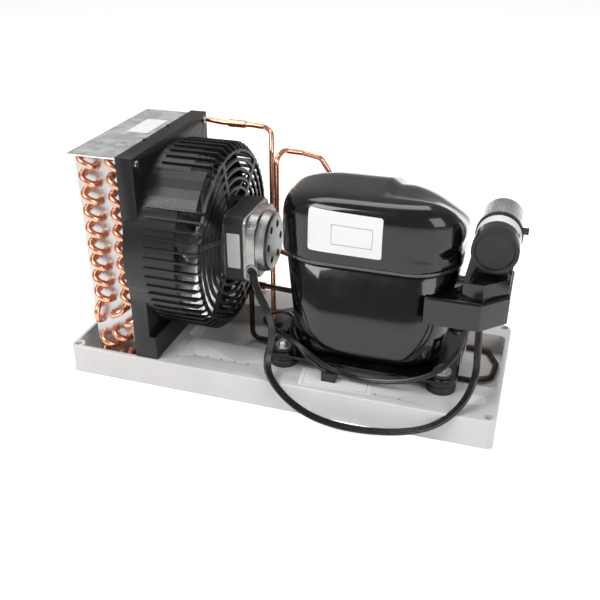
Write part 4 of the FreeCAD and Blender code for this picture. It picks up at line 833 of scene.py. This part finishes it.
FAN_LEAD = [(216, 58, 137), (222, 45, 129), (236, 35, 113), (248, 27, 97), (251, 22, 79),
            (247, 17, 60), (250, 4, 46), (265, -9, 36), (284, -13, 21), (312, -16, 9), (352, -17, 5),
            (402, -12, 8), (440, -8, 22), (464, 6, 44), (473, 31, 64), (471, 40, 92), (469, 42, 130)]
SUPPLY_LEAD = [(459, 32, 130), (457, 30, 104), (442, 22, 76), (412, 21, 56), (376, 24, 44),
               (338, 26, 42), (308, 21, 56), (288, 26, 67), (262, 42, 70), (240, 54, 70),
               (221.5, 75, 68), (221.3, 90.1, 67), (231.4, 100.2, 67), (245.6, 100.2, 67),
               (255.7, 90.1, 67), (256, 73, 67), (263, 51, 68), (276, 33, 68), (294, 20, 60),
               (311, 24, 45)]


class RunLeads(Operator):
    """Flat fan lead and flat supply lead"""
    bl_idname = "unit.run_leads"
    bl_label = "Leads"

    def execute(self, context):
        fan_shape = flat_profile("fan_lead_outline", 9.0 * MM, 3.4 * MM, 3)
        fan = run_lead("fan_lead_flex", FAN_LEAD, fan_shape)
        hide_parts("fan_lead")
        supply_shape = flat_profile("supply_lead_outline", 6.4 * MM, 3.4 * MM, 2)
        supply = run_lead("supply_lead_flex", SUPPLY_LEAD, supply_shape)
        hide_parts("supply_lead")
        return {"FINISHED"}


# Stage

CAMERA_PLACE = (506.54, -688.27, 535.11)
CAMERA_YAW, CAMERA_PITCH, CAMERA_ROLL = 0.3175, 0.4935, -0.0044
CAMERA_SHIFT = (0.0142, -0.0042)
FLOOR_HALF = 6
FLOOR_DROP = 0.0002
LIGHT_TARGET = Vector((0, 0, 0.1))


class SetCamera(Operator):
    """Camera where the photograph was taken"""
    bl_idname = "unit.set_camera"
    bl_label = "Camera"

    def execute(self, context):
        data = bpy.data.cameras.new("camera")
        data.lens = context.scene.unit_stage.lens
        data.sensor_width = 36
        data.shift_x, data.shift_y = CAMERA_SHIFT
        made = bpy.data.objects.new("camera", data)
        context.scene.collection.objects.link(made)
        made.location = spot(*CAMERA_PLACE)
        forward = Vector((-math.sin(CAMERA_YAW) * math.cos(CAMERA_PITCH),
                          math.cos(CAMERA_YAW) * math.cos(CAMERA_PITCH), -math.sin(CAMERA_PITCH)))
        made.rotation_mode = "QUATERNION"
        made.rotation_quaternion = (forward.to_track_quat("-Z", "Y")
                                    @ Quaternion((0, 0, 1), CAMERA_ROLL))
        context.scene.camera = made
        return {"FINISHED"}


def soft_light(name, place, size, power):
    """A rectangular light that faces the unit."""
    data = bpy.data.lights.new(name, "AREA")
    data.shape = "RECTANGLE"
    data.size, data.size_y = size
    data.energy = power
    made = bpy.data.objects.new(name, data)
    bpy.context.scene.collection.objects.link(made)
    made.location = place
    made.rotation_mode = "QUATERNION"
    made.rotation_quaternion = (LIGHT_TARGET - Vector(place)).to_track_quat("-Z", "Y")


def floor_paint(own):
    """A matt floor that glows for the camera and for gloss, but not under the tray."""
    paint = Paint("floor")
    lit = paint.node("ShaderNodeBsdfPrincipled", None, {
        "Base Color": tuple(own.floor_colour), "Roughness": 0.8})
    glow = paint.node("ShaderNodeEmission", None, {"Color": rgba(1, 1, 1), "Strength": own.floor_glow})
    dark = paint.node("ShaderNodeEmission", None, {"Strength": 0.0})
    seen = paint.node("ShaderNodeLightPath")
    mirrored = seen.sibling(3)
    along = paint.node("ShaderNodeSeparateXYZ", None, {0: paint.node("ShaderNodeTexCoord", output=3)})
    across = along.sibling(1)
    covered = ((along > TRAY_LOW.x) * (along < TRAY_HIGH.x)
               * (across > TRAY_LOW.y) * (across < TRAY_HIGH.y))
    own_light = paint.node("ShaderNodeMixShader", None, {
        0: (seen + mirrored) * (1 - covered), 1: dark, 2: glow})
    paint.node_out(paint.node("ShaderNodeAddShader", None, {0: lit, 1: own_light}))
    return paint.block


def add_floor(own):
    work = bmesh.new()
    bmesh.ops.create_grid(work, x_segments=1, y_segments=1, size=FLOOR_HALF)
    mesh = bpy.data.meshes.new("floor")
    work.to_mesh(mesh)
    work.free()
    mesh.materials.append(floor_paint(own))
    floor = bpy.data.objects.new("floor", mesh)
    bpy.context.scene.collection.objects.link(floor)
    floor.location.z = -FLOOR_DROP


def white_surroundings(own):
    """A world that the camera sees white, gloss mirrors a little and the rest takes as dim light."""
    paint = Surroundings("surroundings")
    seen = paint.node("ShaderNodeLightPath")
    share = paint.node("ShaderNodeMath", {"operation": "MULTIPLY_ADD", "use_clamp": True}, {
        0: seen.sibling(3), 1: own.mirrored_white, 2: seen})
    light = paint.node("ShaderNodeBackground", None, {
        "Color": rgba(1, 1, 1), "Strength": own.surroundings_light})
    white = paint.node("ShaderNodeBackground", None, {"Color": rgba(1, 1, 1)})
    paint.node_out(paint.node("ShaderNodeMixShader", None, {0: share, 1: light, 2: white}))
    return paint.block


class SetStage(Operator):
    """Pale floor, white surroundings and soft lights"""
    bl_idname = "unit.set_stage"
    bl_label = "Stage"

    def execute(self, context):
        own = context.scene.unit_stage
        add_floor(own)
        scene = context.scene
        scene.world = white_surroundings(own)
        soft_light("key", (-0.9, -1.1, 1.6), (1.1, 0.8), own.key_power)
        soft_light("fill", (1.5, -0.9, 0.9), (0.9, 1.2), own.fill_power)
        soft_light("top", (-0.3, 0.5, 1.7), (1.6, 0.7), own.fill_power)
        scene.render.engine = "CYCLES"
        scene.cycles.samples = 128
        scene.cycles.use_denoising = True
        scene.render.resolution_x = 600
        scene.render.resolution_y = 600
        scene.view_settings.view_transform = "Standard"
        return {"FINISHED"}


# Panel and registration

class UnitPanel(Panel):
    """Lists the steps that build the unit"""
    bl_idname = "VIEW3D_PT_condensing_unit"
    bl_label = "Condensing unit"
    bl_space_type = "VIEW_3D"
    bl_region_type = "UI"
    bl_category = "Condensing unit"

    def draw(self, context):
        for name in finishes().__annotations__:
            self.layout.prop(context.scene.unit_finishes, name)
        for name in context.scene.unit_stage.__annotations__:
            self.layout.prop(context.scene.unit_stage, name)
        for step in STEPS:
            self.layout.operator(step.bl_idname)


STEPS = (SetCamera, PaintInnerNodes, FinishTray, FinishCondenser, FormBends, FinishFan, FinishMotor,
         FinishCompressor, FinishElectrics, FinishPipes, StickLabels, RunLeads, SetStage)
CLASSES = (UnitFinishes, StageSettings, *STEPS, UnitPanel)


def register():
    for made in CLASSES:
        bpy.utils.register_class(made)
    bpy.types.Scene.unit_finishes = PointerProperty(type=UnitFinishes)
    bpy.types.Scene.unit_stage = PointerProperty(type=StageSettings)


def unregister():
    del bpy.types.Scene.unit_stage
    del bpy.types.Scene.unit_finishes
    for made in reversed(CLASSES):
        bpy.utils.unregister_class(made)


def main():
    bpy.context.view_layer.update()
    register()
    make_paints()
    for step in STEPS:
        group, name = step.bl_idname.split(".")
        getattr(getattr(bpy.ops, group), name)()


if __name__ == "__main__":
    main()
